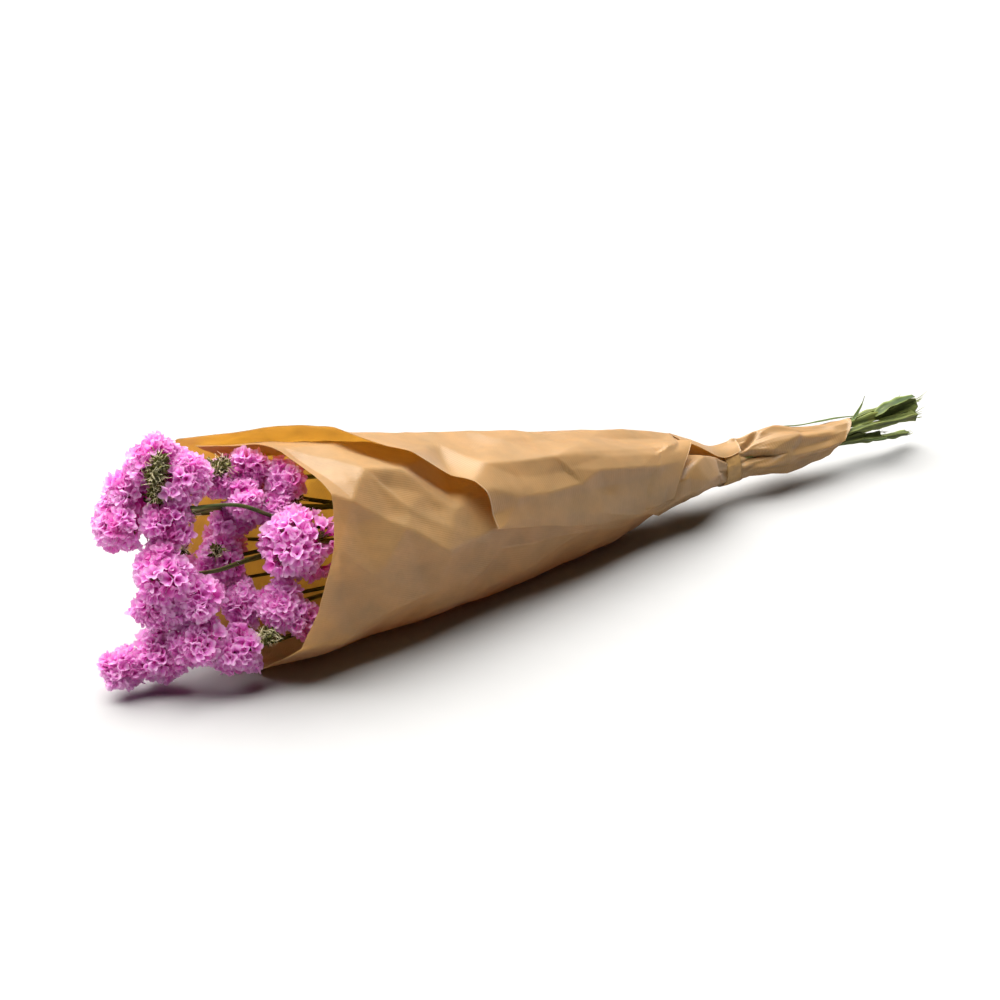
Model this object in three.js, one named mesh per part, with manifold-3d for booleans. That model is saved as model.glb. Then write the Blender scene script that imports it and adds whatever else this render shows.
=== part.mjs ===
// A bunch of dried statice in a rolled kraft-paper wrap, lying on its side.
//
// Millimetres. +X runs from the flowers to the cut ends of the stems and +Z is up.
// The origin is the middle of the flat spot on the belly that the wrap rests on.
//
// The paper is one sheet rolled about one and a half turns. A place on it is given
// by its turn, in degrees from the sheet's inner edge, and by its x. The turn runs
// from the top, down the front, under the belly, up the back and over the top again.

import * as THREE from 'three';
import { mergeVertices } from 'three/addons/utils/BufferGeometryUtils.js';
import Module from 'manifold-3d';

const wasm = await Module();
wasm.setup();

// ---- Driving dimensions ----------------------------------------------------

const CLEARANCE = 0.35;          // gap between two pieces that touch
const RANDOM_SEED = 7;

const PAPER_THICKNESS = 0.8;
const COLUMN_TURN = 12;          // turn between two columns of the paper's facets
const SHEET_TURN = 528;          // turn at the sheet's outer edge
const START_ANGLE = 108;         // where the inner edge lies: 0 front, 90 top, 180 back

// The straight neck under the tie
const NECK = { from: 244, to: 268, side: 0, height: 26.3, radius: 12.8 };

// The wrap's axis and radius: x, side (y), height (z) and radius
const WRAP = [
  [-172, 0, 76, 72],
  [-140, 0, 71, 70.5],
  [-105, 0, 65, 68],
  [-55, 0, 59.2, 62.5],
  [0, 0, 51, 54.2],
  [40, 0, 48, 49.3],
  [85, 0, 47, 44],
  [141, 0, 42, 36],
  [169, 0, 39.5, 31.5],
  [195, 0, 36.5, 26.5],
  [220, 0, 31.6, 19.8],
  [NECK.from, NECK.side, NECK.height, NECK.radius],
  [NECK.to, NECK.side, NECK.height, NECK.radius],
  [284, -2, 27.3, 16.3],
  [300, -3, 26.5, 16],
  [318, -4.5, 25.2, 13.6],
  [342, -7, 25.5, 11.2],
  [370, -9, 26.5, 10.5],
];

// Mouth edge of the sheet: turn and x. It runs furthest out at the back, comes in
// over the top to the sheet's outer corner and then follows its free side.
const OUTER_CORNER_TURN = 456;
const MOUTH_EDGE = [
  [0, -116],
  [24, -105],
  [62, -100],
  [97, -111],
  [142, -130],
  [168, -139],
  [198, -145],
  [250, -161],
  [300, -172],
  [325, -165],
  [345, -138],
  [352, -88],
  [360, -34],
  [378, -21],
  [390, -13],
  [400, -4.5],
  [410, 5],
  [426, 14.5],
  [444, 17],
  [OUTER_CORNER_TURN, 18],
  [468, 58],
  [480, 92],
  [504, 132],
  [SHEET_TURN, 180],
];

// Room between the inner and the outer layer where they lie over each other
const LAYER_GAP = [
  [-172, 3.4],
  [-40, 4.2],
  [60, 3.4],
  [150, 2.6],
  [220, 1],
  [NECK.from, 0.7],
  [400, 0.7],
];
const LAYER_BLEND_TURN = 50;     // turn over which the inner layer comes out

// Rows of facets: shares of the way from the mouth edge to the shoulder, then
// fixed places along the gathered neck and the tail
const BODY_ROWS = [0, 0.12, 0.3, 0.5, 0.7, 0.88];
const SHOULDER_X = 194;
const NECK_ROWS = [SHOULDER_X, 207, 220, 232, NECK.from, NECK.to, 279, 292, 308, 330];
const TAIL_END_X = 353;
const TAIL_END_SLANT = 13;       // the tail reaches further on one side
const TAIL_LONGEST_ANGLE = 102;

// Long soft folds of the wrap: height, angle round the axis and its spread, and the
// stretch along x, with the length over which a fold rises at each end
const FOLD_FADE = 25;
const RIDGES = [
  { height: 5.5, angle: 116, spread: 62, from: -230, to: -40 },
  { height: 2.6, angle: 54, spread: 26, from: 10, to: 205 },
  { height: -2.2, angle: 84, spread: 24, from: 60, to: 215 },
  { height: -2.4, angle: 22, spread: 24, from: 60, to: 190 },
  { height: 2.6, angle: 5, spread: 30, from: -95, to: 30 },
  { height: 2.4, angle: 56, spread: 26, from: -130, to: -20 },
  { height: -2.4, angle: 32, spread: 22, from: -100, to: -5 },
  { height: 2.4, angle: 150, spread: 28, from: -120, to: 180 },
  { height: -2.2, angle: 190, spread: 28, from: -60, to: 200 },
  { height: 2.2, angle: 232, spread: 26, from: 0, to: 200 },
];
// The gathered lobe under the pocket, on the front just before the tie
const LOBE = { height: 5, angle: -28, spread: 62, from: 180, to: 240 };
const POCKET = { height: -5, angle: 58, spread: 50, from: 192, to: 235 };
const TAIL_PLEATS = { count: 7, depth: 1.3, fade: 14, from: NECK.to, to: 350 };

const TIE = { x: 255.5, width: 13, thickness: 1.1, sides: 30, crown: 0.5 };

// Stems: their slots in the neck and the tail, and their radii to the wings' edges
const STEM_SIDES = 6;
const BRANCH_SIDES = 5;
const WING_NOTCH = 0.56;         // radius between the wings, as a share of the wings'
const NECK_SLOT_RADIUS = 6.75;
const NECK_RUN = [242, 270];
const TAIL_SLOT_RADIUS = 5.6;
const TAIL_X = 348;
// Where a stem has a ring of corners: places along x, and shares of a branch's length
const STEM_RINGS = [386, TAIL_X, 310, 270, 256, 242, 228, 209, 180, 150, 100, 50, 0, -45, -90, -130];
const BRANCH_RINGS = [0, 0.3, 0.6, 0.85, 1];
const CUT_END_STEM = 2.8;
const TAIL_STEM = 2.2;
const NECK_STEM = 3.05;
const CENTRE_STEM = 4.5;         // the middle stem's wings reach between its neighbours
const CENTRE_WING_ANGLE = 60;
const CONE_STEM = 2.6;
const HEAD_STEM = 1.6;
const BRANCH_STEM = 1.5;
const STEM_END_ROOM = 8;         // no ring this near either end of a stem

// Each stem: its slot in the neck (angle as above, or null in the middle), its cut
// end, its way through the cone to its first head, and its side branches
const STEMS = [
  {
    name: 'stem_top',
    slot: 90,
    cutEnd: [[388, -10.5, 32.2], [428, -13, 35.4]],
    cone: [[150, 1, 63], [40, 3, 80], [-40, 4, 96], [-66, 3, 101], [-93, 2, 105.5]],
    branches: [[[-50, 4, 98.6], [-85, 16, 106], [-109, 22, 111.5]]],
  },
  {
    name: 'stem_front_up',
    slot: 30,
    cutEnd: [[386, -15.6, 29.2], [421, -21, 29.9]],
    cone: [[150, -12, 51], [40, -18, 64], [-40, -24, 77], [-105, -30, 80]],
    branches: [[[-36, -23.5, 76.6], [-78, -9, 87], [-121, 0, 96]]],
  },
  {
    name: 'stem_front_down',
    slot: 330,
    cutEnd: [[375, -12.5, 22], [392, -14, 20]],
    cone: [[150, -14, 33], [40, -24, 36], [-50, -32, 43], [-124, -35, 45.5]],
    branches: [[[-44, -31.4, 42.4], [-95, -21, 42], [-138, -14.5, 44]]],
  },
  {
    name: 'stem_down',
    slot: 270,
    cutEnd: [[388, -8, 15.2], [428, -8, 10]],
    cone: [[150, -1, 19], [40, -6, 13.5], [-40, -12, 13], [-95, -21, 17], [-152, -29, 22.5]],
    branches: [[[-62, -15, 14.2], [-120, -5, 14], [-165, 0, 14.5], [-196, 0, 16.1]]],
  },
  {
    name: 'stem_back_down',
    slot: 210,
    cutEnd: [[372, -4, 21], [386, -4, 19]],
    cone: [[150, 12, 34], [40, 22, 38], [-50, 31, 40], [-100, 36, 43], [-148, 36, 44]],
    branches: [
      [[-40, 30, 39.6], [-80, 38, 48], [-114, 42, 57]],
      [[-30, 29, 39.4], [-80, 29, 33], [-119, 35, 33.5]],
    ],
  },
  {
    name: 'stem_back_up',
    slot: 150,
    cutEnd: [[384, -5, 34], [412, -8, 36]],
    cone: [[150, 12, 52], [40, 19, 62], [-60, 23, 71], [-108, 19, 83], [-142, 13, 96], [-172, 8, 100]],
    branches: [
      [[-50, 22.6, 70], [-80, 36, 79], [-98, 43, 87]],
      [[-66, 23, 72], [-120, 38, 78], [-158, 45, 83.5]],
    ],
  },
  {
    name: 'stem_centre',
    slot: null,
    cutEnd: [[386, -10, 26.4], [425, -15, 28.4]],
    cone: [[150, 0, 43], [40, 0, 52], [-60, 0, 58], [-119, -4, 66], [-160, -12, 69.5], [-184, -7, 72]],
    branches: [[[-66, -0.4, 58.6], [-100, 6, 62], [-139, 8, 64]]],
  },
];

// Leaf remains at the cut ends, each seated on a stem: its line, width and thickness
const LEAVES = [
  { name: 'leaf_tip', width: 5, line: [[377, -8, 32], [375.5, -8, 40], [380, -9, 51]] },
  {
    name: 'leaf_long',
    width: 3,
    line: [[384, -6, 35], [374, -3, 38.6], [348, 0, 39.4], [322, -1, 41.6], [306, -1, 43.8]],
  },
  { name: 'leaf_upper', width: 9, line: [[388, -11, 33.5], [402, -12, 38.6], [426, -13.5, 41]] },
  { name: 'leaf_lower', width: 6, line: [[372, -11, 20.5], [386, -13, 15.8], [402, -13.5, 13.6]] },
];
const LEAF_THICKNESS = 0.8;
const LEAF_STEPS = 7;
const LEAF_NARROWEST = 0.25;     // width where it is cut or pointed, as a share
const LEAF_SWELL = [0.12, 0.92]; // stretch of a half wave that its width follows
const LEAF_WAVE = { height: 0.5, rate: 9 };

// Flower heads: lumps of x, y, z and radius. A head's first lump carries the rest.
const HEADS = [
  {
    name: 'head_top_left',
    lumps: [
      [-175, 6, 98, 15],
      [-187, 27, 112, 14],
      [-166, 8, 122, 15.5],
      [-178, 22, 130, 15.5],
      [-196, 26, 96, 17.5],
    ],
  },
  { name: 'head_left', lumps: [[-187, -6, 73, 17.5], [-175, -14, 57, 16.5], [-192, -4, 53, 14]] },
  { name: 'head_low_left', lumps: [[-199, 0, 16, 15.5], [-217, 4, 14.5, 12.5]] },
  { name: 'head_low_front', lumps: [[-157, -30, 24, 14], [-178, -22, 33, 15.5]] },
  { name: 'head_middle', lumps: [[-143, 8, 64, 15.5], [-132, 14, 83, 12]] },
  { name: 'head_top', lumps: [[-113, 22, 111, 14], [-136, 20, 109, 10]] },
  { name: 'head_top_right', lumps: [[-97, 2, 106, 13]] },
  { name: 'head_centre', lumps: [[-127, 2, 98, 11.5], [-114, -5, 92, 10.5]] },
  { name: 'head_low_middle', lumps: [[-143, -14, 44, 13]] },
  { name: 'head_low_right', lumps: [[-129, -35, 46, 14.5], [-120, -43, 38, 11]] },
  { name: 'head_right', lumps: [[-112, -30, 80, 20.5]] },
  { name: 'head_back_low', lumps: [[-152, 36, 44, 15]] },
  { name: 'head_back_under', lumps: [[-122, 35, 33, 12.5]] },
  { name: 'head_back_middle', lumps: [[-118, 42, 58, 13.5]] },
  { name: 'head_back_outer', lumps: [[-161, 46, 84, 12.5]] },
  { name: 'head_back_top', lumps: [[-101, 44, 88, 13]] },
];
const CORE_SHARE = 0.6;          // core radius as a share of its lump's
const ROUND_CORE = 12.6;         // a lump larger than this has a core of 80 faces
const BRIDGE_SHARE = 0.42;       // link between two cores, as a share of the smaller
const BRIDGE_SIDES = 5;

// Florets: five-sided papery funnels with their tips sunk in the core
const FLORET_SIDES = 5;
const FLORET_MOUTH = 6;          // radius of the mouth
const FLORET_MOUTH_SHARE = 0.48; // and its most, as a share of the lump's radius
const FLORET_MOUTH_RANGE = [0.9, 1.1];
const FLORET_REACH = [0.92, 1.06];  // where the mouth lies, in the lump's radii
const FLORET_ROOT = 0.35;        // where the tip lies, in the lump's radii
const FLORET_CUP_DEPTH = 0.42;   // depth of the cup as a share of the length
const FLORET_TRIES = 3.2;        // directions tried for each floret's share of a lump
const FLORET_CLEAR_SHARE = 0.82; // a mouth stays this far out of its head's other lumps
const FLORET_PAPER_ROOM = 3.5;   // room between the florets and the paper
const HEAD_SPACING = 0.6;        // room between florets of two heads

// ---- Helpers ---------------------------------------------------------------

const radians = THREE.MathUtils.degToRad;

function makeRandom(seed) {
  let state = seed;
  return () => {
    state = (state * 1664525 + 1013904223) % 4294967296;
    return state / 4294967296;
  };
}

// Smooth curve through stations [at, value, ...]: gives the values at one place
function along(stations, at, column = 1) {
  const last = stations.length - 1;
  if (at <= stations[0][0]) return stations[0][column];
  if (at >= stations[last][0]) return stations[last][column];
  const i = stations.findIndex((station, k) => at < stations[k + 1][0]);
  const slope = (k) => {
    const a = Math.max(k - 1, 0);
    const b = Math.min(k + 1, last);
    return (stations[b][column] - stations[a][column]) / (stations[b][0] - stations[a][0]);
  };
  const span = stations[i + 1][0] - stations[i][0];
  const t = (at - stations[i][0]) / span;
  const [v0, v1] = [stations[i][column], stations[i + 1][column]];
  const [m0, m1] = [slope(i) * span, slope(i + 1) * span];
  const t2 = t * t;
  const t3 = t2 * t;
  const atStations = (2 * t3 - 3 * t2 + 1) * v0 + (3 * t2 - 2 * t3) * v1;
  return atStations + (t3 - 2 * t2 + t) * m0 + (t3 - t2) * m1;
}

function between([low, high], share) {
  return THREE.MathUtils.lerp(low, high, share);
}

function smoothstep(from, to, value) {
  return THREE.MathUtils.smoothstep(value, from, to);
}

// 1 well inside the stretch, 0 at and past its ends
function inside(stretch, x, fade = FOLD_FADE) {
  const risen = smoothstep(stretch.from, stretch.from + fade, x);
  return risen * (1 - smoothstep(stretch.to - fade, stretch.to, x));
}

// Signed difference of two angles in degrees, -180 to 180
function angleBetween(a, b) {
  return THREE.MathUtils.euclideanModulo(a - b + 180, 360) - 180;
}

function curveThrough(points) {
  return new THREE.CatmullRomCurve3(points.map((p) => new THREE.Vector3(...p)), false, 'centripetal');
}

function geometryFrom(vertices, triangles) {
  const geometry = new THREE.BufferGeometry();
  geometry.setAttribute('position', new THREE.Float32BufferAttribute(vertices.flat(), 3));
  geometry.setIndex(triangles.flat());
  return geometry;
}

// Closed solid through rings with the same number of points, capped at both ends.
// The rings turn anticlockwise when seen from the end that they run towards.
function loft(rings) {
  const count = rings[0].length;
  const vertices = rings.flat();
  const triangles = [];
  for (let r = 0; r < rings.length - 1; r += 1) {
    for (let k = 0; k < count; k += 1) {
      const a = r * count + k;
      const b = r * count + ((k + 1) % count);
      triangles.push([a, b, b + count], [a, b + count, a + count]);
    }
  }
  const end = (rings.length - 1) * count;
  for (let k = 1; k < count - 1; k += 1) {
    triangles.push([0, k + 1, k], [end, end + k, end + k + 1]);
  }
  return geometryFrom(vertices, triangles);
}

function solid(geometry) {
  const bare = geometry.clone();
  bare.deleteAttribute('normal');
  bare.deleteAttribute('uv');
  const merged = mergeVertices(bare, 1e-4);
  return new wasm.Manifold(new wasm.Mesh({
    numProp: 3,
    vertProperties: Float32Array.from(merged.attributes.position.array),
    triVerts: Uint32Array.from(merged.index.array),
  }));
}

function join(solids) {
  return solids.reduce((whole, piece) => whole.add(piece));
}

// The largest body of a solid: scraps that a cut leaves loose are dropped
function mainBody(shape) {
  const bodies = shape.decompose();
  bodies.sort((a, b) => b.volume() - a.volume());
  return bodies[0];
}

function geometryOf(shape) {
  const mesh = shape.getMesh();
  const geometry = new THREE.BufferGeometry();
  const positions = new Float32Array(mesh.numVert * 3);
  for (let v = 0; v < mesh.numVert; v += 1) {
    for (let axis = 0; axis < 3; axis += 1) {
      positions[v * 3 + axis] = mesh.vertProperties[v * mesh.numProp + axis];
    }
  }
  geometry.setAttribute('position', new THREE.BufferAttribute(positions, 3));
  geometry.setIndex(Array.from(mesh.triVerts));
  return geometry;
}

const MATERIALS = {
  paper: new THREE.MeshStandardMaterial({ color: 0xc39a6b, roughness: 0.85, metalness: 0 }),
  tie: new THREE.MeshStandardMaterial({ color: 0xa98a5c, roughness: 0.6, metalness: 0 }),
  stem: new THREE.MeshStandardMaterial({ color: 0x5d6b35, roughness: 0.8, metalness: 0 }),
  leaf: new THREE.MeshStandardMaterial({ color: 0x46562c, roughness: 0.8, metalness: 0 }),
  flower: new THREE.MeshStandardMaterial({ color: 0xd96cc4, roughness: 0.7, metalness: 0 }),
};

const bunch = new THREE.Group();

function addPiece(name, geometry, material) {
  const mesh = new THREE.Mesh(geometry, material);
  mesh.name = name;
  bunch.add(mesh);
}

// ---- Paper wrap ------------------------------------------------------------

// Turn at the sheet's outer edge at this x: the free side of the outer layer
function outerEdgeTurn(x) {
  const freeSide = MOUTH_EDGE.filter(([turn]) => turn >= OUTER_CORNER_TURN);
  return along(freeSide.map(([turn, edgeX]) => [edgeX, turn]), x);
}

function foldHeight(angle, x) {
  let height = 0;
  for (const fold of [...RIDGES, LOBE, POCKET]) {
    const across = 1 - Math.abs(angleBetween(angle, fold.angle)) / fold.spread;
    if (across > 0) height += fold.height * across * inside(fold, x);
  }
  const pleat = Math.cos(radians(angle * TAIL_PLEATS.count));
  return height + TAIL_PLEATS.depth * pleat * inside(TAIL_PLEATS, x, TAIL_PLEATS.fade);
}

// How far the sheet lies inside the wrap's outline here
function inset(turn, x) {
  const coveredTo = outerEdgeTurn(x) - 360 + COLUMN_TURN;
  const covered = 1 - smoothstep(coveredTo, coveredTo + LAYER_BLEND_TURN, turn);
  return covered * (along(LAYER_GAP, x) + PAPER_THICKNESS);
}

// Point on the sheet's outer face, or on its inner face at a depth below it. The
// belly is flattened where it would reach below the surface that it rests on.
function paperPoint(turn, x, depth = 0) {
  const angle = START_ANGLE - turn;
  const radius = along(WRAP, x, 3) + foldHeight(angle, x) - inset(turn, x) - depth;
  const y = along(WRAP, x, 1) - radius * Math.cos(radians(angle));
  const z = along(WRAP, x, 2) + radius * Math.sin(radians(angle));
  return [x, y, Math.max(z, depth)];
}

function tailEnd(turn) {
  return TAIL_END_X + TAIL_END_SLANT * Math.cos(radians(START_ANGLE - turn - TAIL_LONGEST_ANGLE));
}

function paperRows(turn) {
  const mouth = along(MOUTH_EDGE, turn);
  const body = BODY_ROWS.map((share) => THREE.MathUtils.lerp(mouth, SHOULDER_X, share));
  return [...body, ...NECK_ROWS, tailEnd(turn)];
}

// One closed thin shell: an outer and an inner skin, joined round the sheet's edge
function buildPaper() {
  const columns = SHEET_TURN / COLUMN_TURN + 1;
  const rows = BODY_ROWS.length + NECK_ROWS.length + 1;
  const vertices = [];
  for (const depth of [0, PAPER_THICKNESS]) {
    for (let c = 0; c < columns; c += 1) {
      const turn = c * COLUMN_TURN;
      for (const x of paperRows(turn)) vertices.push(paperPoint(turn, x, depth));
    }
  }
  const at = (skin, c, r) => (skin * columns + c) * rows + r;
  const triangles = [];
  const quad = (a, b, c, d) => triangles.push([a, b, c], [a, c, d]);
  const last = columns - 1;
  for (let c = 0; c < last; c += 1) {
    for (let r = 0; r < rows - 1; r += 1) {
      quad(at(0, c, r), at(0, c + 1, r), at(0, c + 1, r + 1), at(0, c, r + 1));
      quad(at(1, c, r + 1), at(1, c + 1, r + 1), at(1, c + 1, r), at(1, c, r));
    }
    quad(at(0, c, 0), at(1, c, 0), at(1, c + 1, 0), at(0, c + 1, 0));
    quad(at(0, c + 1, rows - 1), at(1, c + 1, rows - 1), at(1, c, rows - 1), at(0, c, rows - 1));
  }
  for (let r = 0; r < rows - 1; r += 1) {
    quad(at(0, 0, r), at(0, 0, r + 1), at(1, 0, r + 1), at(1, 0, r));
    quad(at(1, last, r), at(1, last, r + 1), at(0, last, r + 1), at(0, last, r));
  }
  return geometryFrom(vertices, triangles);
}

// ---- Tie -------------------------------------------------------------------

// A band with a slightly crowned face, standing clear of the paper all round
function buildTie() {
  const half = TIE.width / 2;
  const inner = NECK.radius + CLEARANCE;
  const outer = inner + TIE.thickness;
  const profile = [
    [inner, -half],
    [outer, -half],
    [outer + TIE.crown, 0],
    [outer, half],
    [inner, half],
    [inner, -half],
  ];
  const band = new THREE.LatheGeometry(profile.map(([r, h]) => new THREE.Vector2(r, h)), TIE.sides);
  band.rotateZ(-Math.PI / 2);
  band.translate(TIE.x, NECK.side, NECK.height);
  return geometryOf(solid(band));
}

// ---- Stems -----------------------------------------------------------------

// Stalk through points. With six sides it has three low wings, the first one towards
// wingTo, and otherwise it is plain. It can be grown to cut room for itself.
function stalk(points, radii, options = {}) {
  const { grow = 0, shares = [0, 1], wingTo = [0, 0, 1], sides = STEM_SIDES } = options;
  const path = curveThrough(points);
  const reference = new THREE.Vector3(...wingTo);
  const rings = [];
  for (const t of shares) {
    const centre = path.getPointAt(t);
    const forward = path.getTangentAt(t);
    if (t === 0) centre.addScaledVector(forward, -grow);
    if (t === 1) centre.addScaledVector(forward, grow);
    const side = new THREE.Vector3().crossVectors(reference, forward).normalize();
    const up = new THREE.Vector3().crossVectors(forward, side);
    const radius = along(radii, t) + grow;
    const ring = [];
    for (let k = 0; k < sides; k += 1) {
      const turn = (k / sides) * 2 * Math.PI;
      const notched = sides === STEM_SIDES && k % 2 === 1;
      const reach = notched ? between([grow, radius], WING_NOTCH) : radius;
      const point = centre.clone();
      point.addScaledVector(up, reach * Math.cos(turn)).addScaledVector(side, -reach * Math.sin(turn));
      ring.push(point.toArray());
    }
    rings.push(ring);
  }
  return solid(loft(rings));
}

function slotPoint(x, slot, radius) {
  const [y, z] = [along(WRAP, x, 1), along(WRAP, x, 2)];
  if (slot === null) return [x, y, z];
  return [x, y - radius * Math.cos(radians(slot)), z + radius * Math.sin(radians(slot))];
}

function stemRoute(stem) {
  const [tailSlot, neckSlot] = [TAIL_SLOT_RADIUS, NECK_SLOT_RADIUS];
  return [
    ...[...stem.cutEnd].reverse(),
    slotPoint(TAIL_X, stem.slot, tailSlot),
    slotPoint(NECK_RUN[1], stem.slot, neckSlot),
    slotPoint(NECK_RUN[0], stem.slot, neckSlot),
    ...stem.cone,
  ];
}

// Shares of a route's length at which it passes each x
function shareAt(route, x) {
  const path = curveThrough(route);
  const samples = 200;
  for (let i = 0; i <= samples; i += 1) {
    if (path.getPointAt(i / samples).x <= x) return i / samples;
  }
  return 1;
}

function stemSolid(stem, grow = 0) {
  const route = stemRoute(stem);
  const neckRadius = stem.slot === null ? CENTRE_STEM : NECK_STEM;
  const radii = [
    [0, CUT_END_STEM],
    [shareAt(route, TAIL_X), TAIL_STEM],
    [shareAt(route, NECK_RUN[1]), neckRadius],
    [shareAt(route, NECK_RUN[0]), neckRadius],
    [shareAt(route, SHOULDER_X), CONE_STEM],
    [1, HEAD_STEM],
  ];
  const angle = stem.slot === null ? CENTRE_WING_ANGLE : stem.slot;
  const wingTo = [0, -Math.cos(radians(angle)), Math.sin(radians(angle))];
  const end = route[route.length - 1][0];
  const start = route[0][0];
  const rings = STEM_RINGS
    .filter((x) => x < start - STEM_END_ROOM && x > end + STEM_END_ROOM)
    .map((x) => shareAt(route, x));
  const pieces = [stalk(route, radii, { grow, wingTo, shares: [0, ...rings, 1] })];
  for (const branch of stem.branches) {
    const branchRadii = [[0, BRANCH_STEM], [1, BRANCH_STEM]];
    pieces.push(stalk(branch, branchRadii, { grow, shares: BRANCH_RINGS, sides: BRANCH_SIDES }));
  }
  return join(pieces);
}

// ---- Leaves ----------------------------------------------------------------

// A flat blade along a line, widest near its middle, with a slightly waved edge
function leafSolid(leaf) {
  const path = curveThrough(leaf.line);
  const rings = [];
  for (let i = 0; i <= LEAF_STEPS; i += 1) {
    const t = i / LEAF_STEPS;
    const centre = path.getPointAt(t);
    const forward = path.getTangentAt(t);
    const side = new THREE.Vector3().crossVectors(new THREE.Vector3(0, 0, 1), forward).normalize();
    const up = new THREE.Vector3().crossVectors(forward, side);
    const swell = Math.sin(Math.PI * between(LEAF_SWELL, t));
    const half = (leaf.width / 2) * between([LEAF_NARROWEST, 1], swell);
    const wave = LEAF_WAVE.height * Math.sin(LEAF_WAVE.rate * t);
    const corner = (across, lift) => centre.clone()
      .addScaledVector(side, across * half)
      .addScaledVector(up, lift * LEAF_THICKNESS / 2 + across * across * wave)
      .toArray();
    const section = [[-1, -1], [0, -1], [1, -1], [1, 1], [0, 1], [-1, 1]];
    rings.push(section.map(([across, lift]) => corner(across, lift)));
  }
  return solid(loft(rings));
}

// ---- Flower heads ----------------------------------------------------------

// Even directions over a sphere
function spiralDirections(count, phase) {
  const golden = Math.PI * (3 - Math.sqrt(5));
  return Array.from({ length: count }, (_, i) => {
    const z = 1 - (2 * (i + 0.5)) / count;
    const r = Math.sqrt(1 - z * z);
    const angle = i * golden + phase;
    return new THREE.Vector3(r * Math.cos(angle), r * Math.sin(angle), z);
  });
}

// Every floret that fits, head by head: none stands in another lump, in the
// paper or below the floor, and two heads' florets keep apart
function plantFlorets(random) {
  const placed = [];
  const cores = HEADS.flatMap((head) => head.lumps.map((lump) => ({ head: head.name, lump })));
  for (const head of HEADS) {
    for (const [index, [x, y, z, radius]] of head.lumps.entries()) {
      const centre = new THREE.Vector3(x, y, z);
      const mouth = Math.min(FLORET_MOUTH, radius * FLORET_MOUTH_SHARE);
      const count = Math.round((4 * radius * radius * FLORET_TRIES) / (mouth * mouth));
      for (const direction of spiralDirections(count, index + random() * 6)) {
        const length = radius * between(FLORET_REACH, random());
        const floret = {
          head: head.name,
          direction,
          root: centre.clone().addScaledVector(direction, radius * FLORET_ROOT),
          tip: centre.clone().addScaledVector(direction, length),
          mouth: mouth * between(FLORET_MOUTH_RANGE, random()),
          spin: random() * 2 * Math.PI,
        };
        if (fits(floret, cores, placed, centre)) placed.push(floret);
      }
    }
  }
  return placed;
}

function fits(floret, cores, placed, ownCentre) {
  const { tip, mouth } = floret;
  const { x, y, z } = tip;
  if (z - mouth * Math.hypot(floret.direction.x, floret.direction.y) < CLEARANCE) return false;
  const angle = THREE.MathUtils.radToDeg(Math.atan2(z - along(WRAP, x, 2), along(WRAP, x, 1) - y));
  const turn = THREE.MathUtils.euclideanModulo(START_ANGLE - angle, 360);
  if (x + mouth > along(MOUTH_EDGE, turn)) {
    const room = along(WRAP, x, 3) - inset(turn, x) - PAPER_THICKNESS - FLORET_PAPER_ROOM;
    const fromAxis = Math.hypot(y - along(WRAP, x, 1), z - along(WRAP, x, 2));
    if (fromAxis + mouth * FLORET_CLEAR_SHARE > room) return false;
  }
  for (const { head, lump } of cores) {
    const centre = new THREE.Vector3(lump[0], lump[1], lump[2]);
    if (centre.distanceTo(ownCentre) < 0.01) continue;
    const distance = centre.distanceTo(tip);
    if (head === floret.head && distance < lump[3] * FLORET_CLEAR_SHARE) return false;
    if (head !== floret.head && distance < lump[3] * CORE_SHARE + mouth + HEAD_SPACING) return false;
  }
  return placed.every((other) => {
    const reach = other.mouth + mouth;
    const room = other.head === floret.head ? reach : reach + HEAD_SPACING;
    return other.tip.distanceTo(tip) > room;
  });
}

// A funnel from its sunk tip to a five-sided mouth with a cup in it
function floretSolid(floret) {
  const { root, tip, direction, mouth, spin } = floret;
  const side = new THREE.Vector3(0, 0, 1).cross(direction);
  if (side.length() < 0.1) side.set(1, 0, 0).cross(direction);
  side.normalize();
  const up = new THREE.Vector3().crossVectors(direction, side);
  const cup = tip.clone().lerp(root, FLORET_CUP_DEPTH);
  const vertices = [root.toArray(), cup.toArray()];
  const triangles = [];
  for (let k = 0; k < FLORET_SIDES; k += 1) {
    const angle = spin + (k / FLORET_SIDES) * 2 * Math.PI;
    const rim = tip.clone();
    rim.addScaledVector(side, mouth * Math.cos(angle)).addScaledVector(up, mouth * Math.sin(angle));
    vertices.push(rim.toArray());
    const [a, b] = [2 + k, 2 + ((k + 1) % FLORET_SIDES)];
    triangles.push([0, b, a], [1, a, b]);
  }
  return solid(geometryFrom(vertices, triangles));
}

function coreSolid([x, y, z, radius]) {
  const ball = new THREE.IcosahedronGeometry(radius * CORE_SHARE, radius > ROUND_CORE ? 1 : 0);
  ball.translate(x, y, z);
  return solid(ball);
}

// A short link that carries one lump from the next
function bridgeSolid(a, b) {
  const radius = Math.min(a[3], b[3]) * CORE_SHARE * BRIDGE_SHARE;
  return stalk([a.slice(0, 3), b.slice(0, 3)], [[0, radius], [1, radius]], { sides: BRIDGE_SIDES });
}

function headSolid(head, florets) {
  const pieces = head.lumps.map(coreSolid);
  for (let i = 1; i < head.lumps.length; i += 1) {
    pieces.push(bridgeSolid(nearestLump(head.lumps, i), head.lumps[i]));
  }
  pieces.push(...florets.filter((floret) => floret.head === head.name).map(floretSolid));
  return join(pieces);
}

function nearestLump(lumps, index) {
  const distance = (a, b) => Math.hypot(a[0] - b[0], a[1] - b[1], a[2] - b[2]);
  const earlier = lumps.slice(0, index);
  return earlier.reduce((best, lump) => (
    distance(lump, lumps[index]) < distance(best, lumps[index]) ? lump : best
  ));
}

// ---- The bunch -------------------------------------------------------------

addPiece('paper_wrap', buildPaper(), MATERIALS.paper);
addPiece('tie_band', buildTie(), MATERIALS.tie);

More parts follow.
